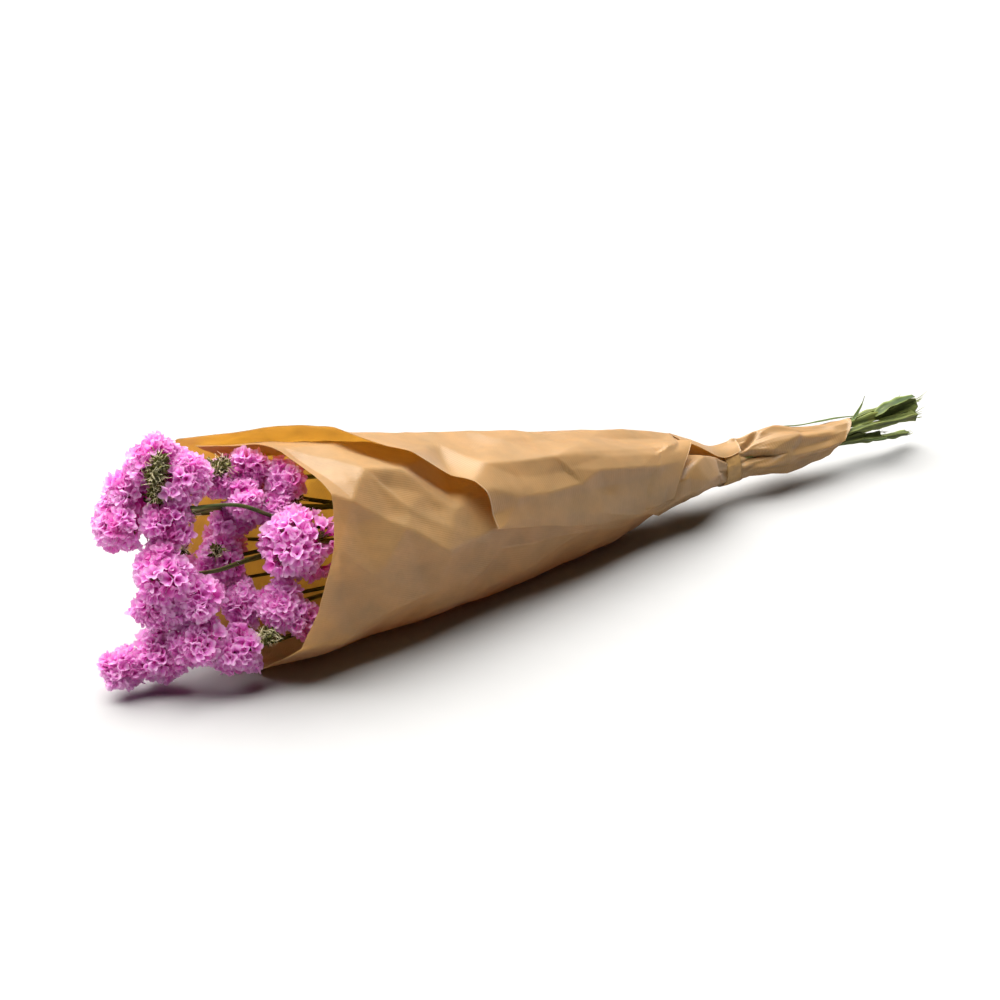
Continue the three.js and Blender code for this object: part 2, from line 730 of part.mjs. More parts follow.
const clearOfStems = [];
for (const stem of STEMS) {
  addPiece(stem.name, geometryOf(stemSolid(stem)), MATERIALS.stem);
  clearOfStems.push(stemSolid(stem, CLEARANCE));
}
for (const leaf of LEAVES) {
  const blade = clearOfStems.reduce((shape, stem) => shape.subtract(stem), leafSolid(leaf));
  addPiece(leaf.name, geometryOf(mainBody(blade)), MATERIALS.leaf);
}

const florets = plantFlorets(makeRandom(RANDOM_SEED));
for (const head of HEADS) {
  const shape = clearOfStems.reduce((whole, stem) => whole.subtract(stem), headSolid(head, florets));
  addPiece(head.name, geometryOf(mainBody(shape)), MATERIALS.flower);
}

export default bunch;
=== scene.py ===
"""Builds the looks of a bunch of dried statice in a ribbed kraft-paper wrap.

Sizes and places are in millimetres and degrees, in the frame of the solid model:
+X runs from the flowers to the cut ends of the stems and +Z is up. They are turned
into metres only where a mesh is made.
"""

import itertools
import math

import bpy
import numpy as np
from bpy.props import FloatProperty, FloatVectorProperty, PointerProperty
from bpy.types import Operator, Panel, PropertyGroup
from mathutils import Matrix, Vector
from mathutils.geometry import delaunay_2d_cdt


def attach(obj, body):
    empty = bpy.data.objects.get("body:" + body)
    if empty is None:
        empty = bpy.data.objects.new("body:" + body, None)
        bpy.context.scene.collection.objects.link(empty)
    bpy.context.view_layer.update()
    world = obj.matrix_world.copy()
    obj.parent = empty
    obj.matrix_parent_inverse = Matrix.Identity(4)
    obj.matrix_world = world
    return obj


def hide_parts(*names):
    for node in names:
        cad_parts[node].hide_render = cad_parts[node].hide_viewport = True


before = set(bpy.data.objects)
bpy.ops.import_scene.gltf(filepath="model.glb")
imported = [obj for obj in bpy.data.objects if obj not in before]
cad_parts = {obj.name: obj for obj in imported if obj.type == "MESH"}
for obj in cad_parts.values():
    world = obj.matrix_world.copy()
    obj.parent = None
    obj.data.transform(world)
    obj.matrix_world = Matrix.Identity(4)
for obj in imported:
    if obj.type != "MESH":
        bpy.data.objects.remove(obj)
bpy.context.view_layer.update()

bl_info = {
    "name": "Dried statice bunch",
    "version": (1, 0, 0),
    "blender": (4, 5, 0),
    "location": "3D View > Sidebar > Statice",
    "description": "Builds a bunch of dried statice in a rolled kraft-paper wrap",
    "category": "Add Mesh",
}

BODY = "root"
METRES = 0.001                   # one millimetre
SEED = 11


def from_srgb(red, green, blue):
    """Linear colour of a colour given in 0 to 255."""
    return tuple((c / 255) ** 2.2 for c in (red, green, blue))


# ---- The paper wrap's sizes --------------------------------------------------

COLUMN_TURN = 12
SHEET_TURN = 528                 # turn at the sheet's outer edge
START_ANGLE = 108                # where the inner edge lies: 0 front, 90 top
SOLID_THICKNESS = 0.8            # thickness of the solid that the sheet lies in

NECK_FROM, NECK_TO = 244, 268
NECK_HEIGHT = 26.3
NECK_RADIUS = 12.8

# The wrap's axis and radius: x, side (y), height (z) and radius
WRAP = [
    (-172, 0, 76, 72), (-140, 0, 71, 70.5), (-105, 0, 65, 68), (-55, 0, 59.2, 62.5),
    (0, 0, 51, 54.2), (40, 0, 48, 49.3), (85, 0, 47, 44), (141, 0, 42, 36),
    (169, 0, 39.5, 31.5), (195, 0, 36.5, 26.5), (220, 0, 31.6, 19.8),
    (NECK_FROM, 0, NECK_HEIGHT, NECK_RADIUS), (NECK_TO, 0, NECK_HEIGHT, NECK_RADIUS),
    (284, -2, 27.3, 16.3), (300, -3, 26.5, 16), (318, -4.5, 25.2, 13.6),
    (342, -7, 25.5, 11.2), (370, -9, 26.5, 10.5),
]

# Mouth edge of the sheet: turn and x. The inner layer starts before turn 0.
FIRST_TURN = -34
OUTER_CORNER_TURN = 453
MOUTH_EDGE = [
    (FIRST_TURN, -112), (-22, -134), (-10, -141), (0, -124), (24, -105), (62, -100), (97, -111),
    (142, -130), (168, -139), (198, -145), (250, -152), (275, -152), (300, -158), (325, -151),
    (338, -147), (345, -136), (352, -112), (360, -84), (368, -72), (378, -61), (390, -47), (400, -33),
    (410, -14), (420, 2), (430, 9.5), (441, 12), (OUTER_CORNER_TURN, 12.5),
]
# Free side of the outer layer, from the corner on: turn and x
FREE_SIDE = [
    (OUTER_CORNER_TURN, 12.5), (461, 52), (470, 77), (479, 107), (488, 138), (494, 158), (SHEET_TURN, 182),
]

# Room between the sheet's two layers along x
LAYER_GAP = [(-172, 3.4), (-40, 4.2), (60, 3.4), (150, 2.6), (220, 1), (NECK_FROM, 0.7), (400, 0.7)]
LAYER_BLEND_TURN = 50

SHOULDER_X = 194
TAIL_LAST_ROW_X = 330
TAIL_END_X = 353
TAIL_END_SLANT = 13
TAIL_LONGEST_ANGLE = 102

# Long soft folds: height, angle, spread of the angle, and the stretch along x
FOLD_FADE = 25
SOFT_FOLDS = [
    (1.5, 116, 62, -230, -40), (2.6, 54, 26, 10, 205), (-2.2, 84, 24, 60, 215),
    (-2.4, 22, 24, 60, 190), (2.6, 5, 30, -95, 30), (2.4, 56, 26, -130, -20),
    (-2.4, 32, 22, -100, -5), (2.4, 150, 28, -120, 180), (-2.2, 190, 28, -60, 200),
    (2.2, 232, 26, 0, 200), (-1.5, 58, 50, 192, 235),
]
TAIL_PLEAT_COUNT = 7
TAIL_PLEAT_DEPTH = 1.3
TAIL_PLEAT_FADE = 14
TAIL_PLEAT_STRETCH = (NECK_TO, 350)

# Lines along which the paper is folded sharp: points of x, angle and height. Between
# the lines the sheet is a net of flat facets.
FOLD_LINES = [
    # the flap beside the mouth: its facets meet in a blunt corner
    [(-67, 60, 3.4), (-87, 42, 4), (-101, 47, 3.4)],
    [(-87, 42, 4), (-54, 24, 4.2), (-27, 7, 6.4)],
    [(-67, 60, 3.4), (-46, 34, 3.4), (-27, 7, 6.4)],
    [(-67, 60, 3.4), (-40, 59, 2.6), (-57, 51, -1.2), (-67, 60, 3.4)],
    [(-40, 59, 2.6), (-12, 31, 2.8), (-19, 19, 4.4), (-27, 7, 6.4)],
    [(-27, 7, 6.4), (-4, 11, 3.2), (16, 14, 2.4)],
    [(-27, 7, 6.4), (-38, -21, 0.4)],
    [(-57, 51, -1.2), (-30, 44, 0.6), (-19, 19, 4.4)],
    [(-105, 19, 0), (-81, 0, 0), (-38, -21, 0.4), (-4, -24, 0.2), (14, 3, 0.4)],
    # the two long ridges of the outer layer and what lies between them
    [(20, 57, 2.8), (77, 53, 2.4), (121, 48, 2.2), (164, 43, 2.8), (193, 60, 2.4), (202, 78, 1.5)],
    [
        (16, 39, 2.4), (37, 30, 3.6), (62, 28, 3.8), (92, 28, 4.8), (109, 36, 5), (145, 33, 6),
        (165, 30, 5.6),
    ],
    [(77, 53, 2.4), (92, 28, 4.8)],
    [(28, 46, 1.2), (37, 30, 3.6)],
    [(40, 45, 0.2), (62, 41, 0.6), (84, 42, 2.2)],
    [(45, 16, 0.4), (75, 6, 0.2), (107, 0, 0.4)],
    [(24, -4, 0.6), (60, -12, 0.4), (100, -22, 0.4), (140, -42, 0.4), (176, -56, 0)],
    [(30, -62, 1.5), (66, -62, 3), (104, -65, 4), (140, -67, 4), (170, -70, 2)],
    [(109, 36, 5), (108, 16, 1.6), (107, 0, 0.4)],
    [(118, 12, 0.2), (152, 1, 0), (148, -20, 0.2)],
    # the top of the outer layer behind its mouth
    [
        (-95, 112, -1), (-70, 111, -2), (-45, 110, 0), (-20, 108, 2.5), (8, 105, 4), (40, 104, 3),
        (75, 103, 1),
    ],
    # dents over the ridges
    [(144, 98, 1.2), (152, 64, -2), (139, 60, -0.5), (130, 84, 1)],
    [(152, 64, -2), (149, 52, 0.6)],
    [(144, 98, 1.2), (172, 100, 1.4), (152, 64, -2)],
    [(172, 100, 1.4), (168, 66, -3), (171, 47, 1.8)],
    [(168, 66, -3), (188, 78, -1.5), (202, 78, 1.5)],
    [(172, 100, 1.4), (205, 104, 1.6), (224, 104, 1.4), (243, 104, 1)],
    # the outer layer's edge round the pocket
    [
        (202, 78, 1.5), (199, 58, 1.5), (189, 42, 2), (178, 22, 2), (170, 4, 1.6), (168, -12, 1.2),
        (166, -30, 0.4),
    ],
    # the pocket's floor and the far wall behind it
    [(211, 78, -3), (207, 60, -7), (198, 42, -6.5), (187, 22, -5), (178, 4, -3), (175, -12, -1)],
    [(211, 78, -3), (234, 62, -2.4), (244, 56, -1)],
    [(207, 60, -7), (228, 52, -4.5), (243, 46, -1.5)],
    # the lobe in front of the pocket
    [(183, -16, 2.4), (190, 10, 3), (200, 27, 3.6), (214, 40, 4), (230, 43, 3.4), (243, 32, 1)],
    [(197, -8, 4.6), (210, 4, 6.2), (225, 10, 5.4)],
    [(231, 12, 0.6), (240, 6, -1.5), (244, 14, -0.5)],
    [(203, -48, -1.2), (220, -46, -2.4), (235, -46, -1.8)],
    # folds of the tail behind the tie
    [(262, 74, 1.4), (278, 96, 1.6)],
    [(263, 60, -3), (272, 82, -3.6), (284, 100, -0.5)],
    [(266, 52, 2.2), (282, 86, 2.8), (296, 94, 2)],
    [(266, 52, 2.2), (282, 30, 2.6), (303, 29, 1.6)],
    [(262, 44, -3), (272, 24, -4.4), (285, 12, -3), (298, 6, 0)],
    [(262, 6, 1.4), (276, -6, 2), (296, -14, 1.2)],
    [(313, 82, 1.6), (309, 52, 2), (303, 29, 1.6), (296, 16, 1), (287, 4, -0.4)],
    [(318, 82, 0.2), (313, 50, 0.4), (307, 27, 0.2)],
    [(290, -62, -2), (300, -50, 0.5)],
]
# Facets with no set place: the steps between their corners along x and round the
# wrap, before the shoulder and after it, and how far the corners keep off a fold line
FREE_STEP = (27, 30)
NECK_FREE_STEP = (15, 36)
FREE_HEIGHT = (-1.5, 1.5)
FREE_CLEARANCE = 11
# Rounded swellings: height, radius, x and angle
DOMES = [(2.5, 19, 213, 0), (3, 22, 205, 190), (2.5, 24, 120, 250)]
# The paper stands up a little on both sides of the tie: height, x and half length
COLLARS = [(0.5, 242, 4), (1.6, 260, 4.5)]
# The outer layer's mouth stands off the layer below: height, length, and the turns
# between which it rises and falls
FLARE = 6
FLARE_LENGTH = 75
FLARE_TURNS = (338, 366, 428, 452)
# Its free side stands off as well: height, width in degrees, and where that fades out
FREE_SIDE_LIFT = 2.4
FREE_SIDE_WIDTH = 38
FREE_SIDE_FADE = (100, 160)
FACET_DEGREE = 0.8               # distance round the wrap that stands for a degree
FACET_REACH = 1.02               # the facets' corners stand out this much, as their middles lie deeper
# Under the mouth of the outer layer the inner layer sags away from it
SAG = 4
SAG_BEFORE, SAG_AFTER, SAG_END = 24, 36, 110
SAG_START_TURNS, SAG_TURNS = (32, 62), (70, 98)

# The gathers that run into the tie, round both layers alike
GATHERS = 15
GATHER_DEPTH = 2.0
GATHER_STRETCH = (192, 300)
GATHER_FADE = 44
GATHER_BEFORE_TIE = 0.3          # share of their depth before the tie

# The sheet laid flat: its ribs are straight lines there
FLAT_SHARE = 0.185               # angle on the flat sheet for each degree of turn
FLAT_APEX_X = 337
RIB_TURN = 470                   # the ribs run straight round the cone at this turn

SHEET_COLUMNS = 256
# Columns stand closer on the parts that are folded most: turn and closeness
COLUMN_DENSITY = [
    (0, 1), (20, 1.7), (170, 1.7), (190, 0.7), (330, 0.7), (372, 1.6), (500, 1.6), (SHEET_TURN, 1.2),
]
BODY_ROWS = 104
INNER_ROW_POWER = 1.7            # the inner layer's rows stand closer near the mouth, where it shows
NECK_ROWS = 72
TAIL_ROWS = 8

# The strip of paper that runs over the far side of the pocket and over the tie: its
# first x, its last x at both sides, its last angle, its first angle along x, and its
# radius along x
LAP_FROM, LAP_TO = 206, (259, 268)
LAP_LAST_ANGLE = 126
LAP_SIDE = [(206, 76), (216, 67), (226, 58), (242, 47), (259, 53), (285, 62)]
LAP_RADIUS = [
    (206, 24.5), (216, 22.8), (226, 20), (236, 17), (246, 15.6), (262, 15.3), (272, 15.4),
]
# The fold that hangs over the pocket: its free edge as angle, x and height above the
# plain outline, and its length
SHOULDER_FOLD = [
    (-16, 180, 1), (4, 181, 3), (22, 186, 4.6), (42, 197, 5.8), (58, 206, 6.4), (70, 211.5, 5),
]
SHOULDER_FOLD_LENGTH = 34
# Room between an added piece of the paper and the sheet below it
PIECE_ROOM = 0.4
EXTRA_ROWS = 36

# ---- The tie's sizes ----------------------------------------------------------

TIE_X = 250.3
TIE_WIDTH = 13.5
TIE_THICKNESS = 0.5
TIE_CLEARANCE = 0.3

# ---- The stems' sizes ---------------------------------------------------------

NECK_SLOT_RADIUS = 6.75
NECK_RUN = (242, 270)
TAIL_SLOT_RADIUS = 5.6
TAIL_X = 348
CUT_END_STEM = 2.8
WIDE_CUT_ENDS = {"stem_top": 5, "stem_front_up": 4.2, "stem_centre": 4.4}
TAIL_STEM = 2.2
NECK_STEM = 3.05
CENTRE_STEM = 4.5
CENTRE_WING_ANGLE = 60
CONE_STEM = 2.6
HEAD_STEM = 1.6
BRANCH_STEM = 1.5

# Each stem: its slot in the neck, its cut end, its way to its first head, and its
# side branches
STEMS = {
    "stem_top": (
        90, [(388, -10.5, 32.2), (428, -13, 35.4)],
        [(150, 1, 63), (40, 3, 80), (-40, 4, 96), (-66, 3, 101), (-93, 2, 105.5)],
        [[(-50, 4, 98.6), (-85, 16, 106), (-109, 22, 111.5)]],
    ),
    "stem_front_up": (
        30, [(386, -15.6, 29.2), (421, -21, 29.9)],
        [(150, -12, 51), (40, -18, 64), (-40, -24, 77), (-105, -30, 80)],
        [
            [(-36, -23.5, 76.6), (-78, -9, 87), (-121, 0, 96)],
            [(-36, -23.5, 76.6), (-77, -8, 73), (-118, -14, 93), (-141, -12, 106), (-169, -6, 110)],
        ],
    ),
    "stem_front_down": (
        330, [(375, -12.5, 22), (392, -14, 20)],
        [(150, -14, 33), (40, -24, 36), (-50, -32, 43), (-124, -35, 45.5)],
        [[(-44, -31.4, 42.4), (-95, -21, 42), (-138, -14.5, 44)]],
    ),
    "stem_down": (
        270, [(388, -8, 15.2), (428, -8, 10)],
        [(150, -1, 19), (40, -6, 13.5), (-40, -12, 13), (-95, -21, 17), (-152, -29, 22.5)],
        [[(-62, -15, 14.2), (-120, -5, 14), (-165, 0, 14.5), (-196, 0, 16.1)]],
    ),
    "stem_back_down": (
        210, [(372, -4, 21), (386, -4, 19)],
        [(150, 12, 34), (40, 22, 38), (-50, 31, 40), (-100, 36, 43), (-148, 36, 44)],
        [
            [(-40, 30, 39.6), (-80, 38, 48), (-114, 42, 57)],
            [(-30, 29, 39.4), (-80, 29, 33), (-119, 35, 33.5)],
        ],
    ),
    "stem_back_up": (
        150, [(384, -5, 34), (412, -8, 36)],
        [(150, 12, 52), (40, 19, 62), (-60, 23, 71), (-108, 19, 83), (-142, 13, 96), (-172, 8, 100)],
        [
            [(-50, 22.6, 70), (-80, 36, 79), (-98, 43, 87)],
            [(-66, 23, 72), (-120, 38, 78), (-158, 45, 83.5)],
        ],
    ),
    "stem_centre": (
        None, [(386, -10, 26.4), (425, -15, 28.4)],
        [(150, 0, 43), (40, 0, 52), (-60, 0, 58), (-119, -4, 66), (-160, -12, 69.5), (-184, -7, 72)],
        [[(-66, -0.4, 58.6), (-100, 6, 62), (-139, 8, 64)]],
    ),
}
# A winged stem's section: degrees from a wing's middle and share of the wing's reach
WING_SECTION = [(-60, 0), (-35, 0.05), (-15, 0.35), (-5, 1), (5, 1), (15, 0.35), (35, 0.05)]
WINGS = 3
STALK_SHARE = 0.5                # the stalk's own radius, as a share of the wings' reach
STEM_STEP = 3
BRANCH_SIDES = 10
BRANCH_STEP = 4
WING_WAVE = 0.8                  # how far the wings' edges wave at the cut ends, as a share

# ---- The leaves' sizes --------------------------------------------------------

# Each leaf: its width, how far it narrows to a point, and its middle line
LEAVES = {
    "leaf_tip": (4.5, 0.95, [(367, -8.5, 32), (373.5, -8, 38), (377, -8.5, 44), (379, -9, 51)]),
    "leaf_long": (
        2, 0, [(384, -6, 32.5), (374, -3, 34.4), (348, 0, 36.4), (322, -1, 39.4), (306, -1, 42.6)],
    ),
    "leaf_upper": (9, 0, [(388, -11, 33.5), (402, -12, 38.6), (426, -13.5, 41)]),
    "leaf_lower": (6, 0, [(372, -11, 20.5), (386, -13, 15.8), (402, -13.5, 13.6)]),
}
LEAF_STEPS = 40
LEAF_ACROSS = 10
LEAF_THICKNESS = 0.35
LEAF_LIFT = 0.9                  # how far the sides rise, as a share of half the width
LEAF_FOLD, LEAF_WAVE = 0.3, 0.28 # shares of that rise: the even fold, and the waved edge
LEAF_VEIN = (0.25, 0.12)         # the middle vein's height, and its width as a share of half the width
LEAF_NARROWEST = 0.25
LEAF_SWELL = (0.12, 0.92)

# ---- The flower heads' sizes --------------------------------------------------

# Lumps of x, y, z and radius
HEADS = {
    "head_top_left": [
        (-175, 6, 98, 15), (-187, 27, 112, 14), (-166, 8, 122, 15.5), (-178, 22, 130, 15.5),
        (-196, 26, 96, 17.5),
    ],
    "head_left": [(-187, -6, 73, 17.5), (-175, -14, 57, 16.5), (-192, -4, 53, 14)],
    "head_low_left": [(-193, -3, 21, 15.5), (-214, 3, 17, 12.5)],
    "head_low_front": [(-157, -30, 24, 14), (-178, -22, 33, 15.5)],
    "head_middle": [(-143, 8, 64, 15.5), (-132, 14, 83, 12)],
    "head_top": [(-116, 18, 113, 13.5), (-138, 17, 110, 10)],
    "head_top_right": [(-102, 0, 107, 12.5)],
    "head_centre": [(-127, 2, 102, 11.5), (-114, -5, 95, 10.5)],
    "head_low_middle": [(-143, -14, 44, 13)],
    "head_low_right": [(-129, -35, 46, 14.5), (-120, -43, 38, 11)],
    "head_right": [(-112, -30, 80, 20.5)],
    "head_back_low": [(-152, 36, 44, 15)],
    "head_back_under": [(-122, 35, 33, 12.5)],
    "head_back_middle": [(-118, 42, 58, 13.5)],
    "head_back_outer": [(-161, 46, 84, 12.5)],
    "head_back_top": [(-101, 44, 88, 13)],
}
# Each lump is a cluster of tufts: surface of the lump that one tuft takes, the tufts'
# middle and size in the lump's radii, the calyces of one tuft, and how wide they fan
TUFT_ROOM = 210
TUFT_MIDDLE = (0.4, 0.78)
TUFT_SIZE = (0.42, 0.56)
TUFT_CALYCES = 15
TUFT_FAN = -0.1
LOWER_FLATTENING = 0.8           # the underside of a lump is this much flatter
CALYX_SIZE_RANGE = (0.75, 1.15)
CALYX_TILT = 0.3                 # how far a calyx leans off its tuft's outward way
UPWARD_LEAN = (-0.12, -0.05, 0.22)
CALYX_SECTORS = 20
LOBES = 5
# The funnel from its foot to its rim: share of the length, and share of the radius
FUNNEL = [(0, 0.1), (0.5, 0.22), (0.76, 0.55), (0.91, 0.88), (0.97, 1.12)]
NOTCH_DEPTH = 0.2
LOBE_BEND = 0.2                  # how far single lobes bend in or out, as a share of the radius
RUFFLE = 0.16                    # ruffle of the rim, as a share of the radius
CLEAR_OF_TUFTS = 0.82            # a mouth stays this far out of the other tufts
STALK_SIDE_COSINE = 0.55         # no calyx this close round the way back to the stem
# Open places of a head, where its green bracts and pale threads show: x, y, z, radius
OPEN_PLACES = {
    "head_top_left": [(-183, 5, 128, 8), (-184, 9, 116, 8), (-180, 5, 137, 6.5), (-166, 0, 104, 5)],
    "head_top": [(-142, 13, 122, 6), (-133, 16, 122, 5)],
    "head_top_right": [(-100, -8, 97, 5)],
    "head_low_right": [(-146, -44, 34, 6)],
    "head_middle": [(-152, -2, 77, 4.5)],
    "head_left": [(-176, -6, 86, 4)],
}
PAPER_ROOM = 2.2
CORE_SHARE = 0.5
LINK_RADIUS = 1.2
PEDICEL_RADIUS = 0.35
FLOOR_ROOM = 0.25


# ---- Settings that a user would change ------------------------------------------

class PaperSettings(PropertyGroup):
    """Sizes and colours of the paper wrap and its tie."""

    thickness: FloatProperty(
        name="Thickness", description="Thickness of the paper sheet",
        default=0.3 * METRES, min=0.05 * METRES, max=SOLID_THICKNESS * METRES, unit="LENGTH",
    )
    rib_spacing: FloatProperty(
        name="Rib spacing", description="Distance between two of the paper's fine ribs",
        default=1.6 * METRES, min=0.5 * METRES, unit="LENGTH",
    )
    crumple: FloatProperty(
        name="Crumple", description="Height of the small uneven facets of the paper",
        default=1.0 * METRES, min=0, unit="LENGTH",
    )
    colour: FloatVectorProperty(
        name="Paper colour", description="Colour of the kraft paper",
        default=(0.5, 0.325, 0.135), size=3, min=0, max=1, subtype="COLOR",
    )
    light_through: FloatVectorProperty(
        name="Light through", description="Colour of the light that comes through the paper",
        default=(1.0, 0.71, 0.24), size=3, min=0, max=1, subtype="COLOR",
    )
    tie_colour: FloatVectorProperty(
        name="Tie colour", description="Colour of the tie band",
        default=from_srgb(182, 142, 88), size=3, min=0, max=1, subtype="COLOR",
    )


class StemSettings(PropertyGroup):
    """Colours of the stems and leaves."""

    green: FloatVectorProperty(
        name="Green", description="Colour of the dried stalks",
        default=from_srgb(80, 92, 40), size=3, min=0, max=1, subtype="COLOR",
    )
    wing_green: FloatVectorProperty(
        name="Wing green", description="Lighter colour along the wings and veins",
        default=from_srgb(150, 160, 84), size=3, min=0, max=1, subtype="COLOR",
    )
    leaf_green: FloatVectorProperty(
        name="Leaf green", description="Colour of the dried leaves",
        default=from_srgb(66, 90, 36), size=3, min=0, max=1, subtype="COLOR",
    )


class CalyxSettings(PropertyGroup):
    """Size and colours of the papery calyces."""

    width: FloatProperty(
        name="Width", description="Width of a calyx across its mouth",
        default=7 * METRES, min=3 * METRES, unit="LENGTH",
    )
    length: FloatProperty(
        name="Length", description="Length of a calyx from its foot to its rim",
        default=9.5 * METRES, min=4 * METRES, unit="LENGTH",
    )
    # The throat colour is partly the calyx's own deeper tone and partly painted shade; it also darkens the
    # places between lobes and each head's core
    throat: FloatVectorProperty(
        name="Throat", description="Deep colour inside the funnel",
        default=from_srgb(230, 52, 184), size=3, min=0, max=1, subtype="COLOR",
    )
    petal: FloatVectorProperty(
        name="Petal", description="Colour of the lobes",
        default=from_srgb(252, 172, 244), size=3, min=0, max=1, subtype="COLOR",
    )
    # The rim colour is partly the papery edge and partly a painted highlight
    rim: FloatVectorProperty(
        name="Rim", description="Pale colour of the papery rim",
        default=from_srgb(255, 230, 250), size=3, min=0, max=1, subtype="COLOR",
    )


class StageSettings(PropertyGroup):
    """The light that the bunch is shown in."""

    key_strength: FloatProperty(
        name="Key light", description="Strength of the key light from above and behind",
        default=10.0, min=0,
    )
    key_softness: FloatProperty(
        name="Key softness", description="Angle that the key light fills",
        default=math.radians(78), min=0, subtype="ANGLE",
    )
    fill_strength: FloatProperty(
        name="Fill light", description="Strength of the even light from all round",
        default=0.02, min=0,
    )


# ---- Numbers and curves -----------------------------------------------------------

NOISE_CELLS = 24


class Noise:
    """Smooth seeded noise, about -1 to 1, over points in cells of size one."""

    def __init__(self, seed):
        self.table = np.random.default_rng(seed).uniform(-1, 1, (NOISE_CELLS,) * 3)

    def __call__(self, x, y=0.0, z=0.0):
        points = np.stack(np.broadcast_arrays(x, y, z), axis=-1).astype(float)
        cell = np.floor(points).astype(int)
        part = points - cell
        part = part * part * (3 - 2 * part)
        total = np.zeros(points.shape[:-1])
        for corner in itertools.product((0, 1), repeat=3):
            index = (cell + corner) % NOISE_CELLS
            weight = np.prod(np.where(corner, part, 1 - part), axis=-1)
            total += weight * self.table[index[..., 0], index[..., 1], index[..., 2]]
        return total


def along(stations, at, column=1):
    """Smooth curve through stations (at, value, ...): its values at many places."""
    table = np.array(stations, dtype=float)
    places, values = table[:, 0], table[:, column]
    before = np.maximum(np.arange(len(places)) - 1, 0)
    after = np.minimum(np.arange(len(places)) + 1, len(places) - 1)
    slopes = (values[after] - values[before]) / (places[after] - places[before])
    at = np.clip(at, places[0], places[-1])
    i = np.clip(np.searchsorted(places, at, side="right") - 1, 0, len(places) - 2)
    span = places[i + 1] - places[i]
    t = (at - places[i]) / span
    rise = 3 * t ** 2 - 2 * t ** 3
    ends = (1 - rise) * values[i] + rise * values[i + 1]
    return ends + span * (slopes[i] * (t ** 3 - 2 * t ** 2 + t) + slopes[i + 1] * (t ** 3 - t ** 2))


def smoothstep(low, high, value):
    t = np.clip((value - low) / (high - low), 0, 1)
    return t * t * (3 - 2 * t)


def inside(low, high, x, fade=FOLD_FADE):
    """1 well inside the stretch, 0 at and past its ends."""
    return smoothstep(low, low + fade, x) * (1 - smoothstep(high - fade, high, x))


def angle_between(a, b):
    """Signed difference of two angles in degrees, -180 to 180."""
    return (np.asarray(a) - b + 180) % 360 - 180


def unit(vectors):
    return vectors / np.maximum(np.linalg.norm(vectors, axis=-1, keepdims=True), 1e-9)


CURVE_SAMPLES = 24


def curve_through(points, step):
    """Points at even steps on a centripetal Catmull-Rom curve, and the way it runs."""
    points = np.array(points, dtype=float)
    points = np.vstack([2 * points[0] - points[1], points, 2 * points[-1] - points[-2]])
    samples = []
    for k in range(1, len(points) - 2):
        p0, p1, p2, p3 = points[k - 1:k + 3]
        d0, d1, d2 = (math.sqrt(np.linalg.norm(b - a)) for a, b in ((p0, p1), (p1, p2), (p2, p3)))
        m1 = ((p1 - p0) / d0 - (p2 - p0) / (d0 + d1) + (p2 - p1) / d1) * d1
        m2 = ((p2 - p1) / d1 - (p3 - p1) / (d1 + d2) + (p3 - p2) / d2) * d1
        t = np.linspace(0, 1, CURVE_SAMPLES, endpoint=False)[:, None]
        rise = 3 * t ** 2 - 2 * t ** 3
        ends = (1 - rise) * p1 + rise * p2
        samples.append(ends + (t ** 3 - 2 * t ** 2 + t) * m1 + (t ** 3 - t ** 2) * m2)
    line = np.vstack([*samples, points[-2:-1]])
    lengths = np.concatenate([[0], np.cumsum(np.linalg.norm(np.diff(line, axis=0), axis=1))])
    count = max(int(round(lengths[-1] / step)), 2) + 1
    even = np.linspace(0, lengths[-1], count)
    centres = np.stack([np.interp(even, lengths, line[:, axis]) for axis in range(3)], axis=1)
    return centres, unit(np.gradient(centres, axis=0))


def frames_along(forward, reference):
    """Two directions across a curve, the first one towards the reference."""
    side = unit(np.cross(reference, forward))
    return np.cross(forward, side), side


# ---- Meshes -------------------------------------------------------------------------

class MeshParts:
    """Gathers points and faces of one piece, in millimetres."""

    def __init__(self):
        self.points, self.faces, self.materials, self.marks = [], [], [], []
        self.count = 0

    def add(self, points, faces, material=0, marks=None):
        """Faces are an array of corner numbers with 3 or 4 columns."""
        points = np.asarray(points, dtype=float).reshape(-1, 3)
        faces = np.asarray(faces, dtype=int)
        self.points.append(points)
        self.faces.append(faces + self.count)
        self.materials.append(np.full(len(faces), material))
        if marks is None:
            marks = np.zeros((len(points), 4))
        self.marks.append(np.asarray(marks, dtype=float).reshape(-1, 4))
        self.count += len(points)

    def build(self, name, materials, flat_map=None, marked=False):
        """The finished object, linked to the scene."""
        mesh = bpy.data.meshes.new(name)
        points = np.vstack(self.points) * METRES
        corners = np.concatenate([faces.ravel() for faces in self.faces])
        sizes = np.concatenate([np.full(len(faces), faces.shape[1]) for faces in self.faces])
        mesh.vertices.add(len(points))
        mesh.vertices.foreach_set("co", points.ravel())
        mesh.loops.add(len(corners))
        mesh.loops.foreach_set("vertex_index", corners)
        mesh.polygons.add(len(sizes))
        mesh.polygons.foreach_set("loop_start", np.concatenate([[0], np.cumsum(sizes)[:-1]]))
        mesh.polygons.foreach_set("loop_total", sizes)
        mesh.polygons.foreach_set("material_index", np.concatenate(self.materials).astype(np.int32))
        mesh.update(calc_edges=True)
        mesh.polygons.foreach_set("use_smooth", np.ones(len(sizes), dtype=bool))
        if flat_map is not None:
            layer = mesh.uv_layers.new(name="Sheet")
            layer.data.foreach_set("uv", flat_map[corners].ravel())
        if marked:
            layer = mesh.color_attributes.new("Marks", "FLOAT_COLOR", "POINT")
            layer.data.foreach_set("color", np.vstack(self.marks).ravel())
        for material in materials:
            mesh.materials.append(material)
        if mesh.validate():
            raise RuntimeError(f"the mesh of {name} isn't valid")
        piece = bpy.data.objects.new(name, mesh)
        bpy.context.scene.collection.objects.link(piece)
        return piece


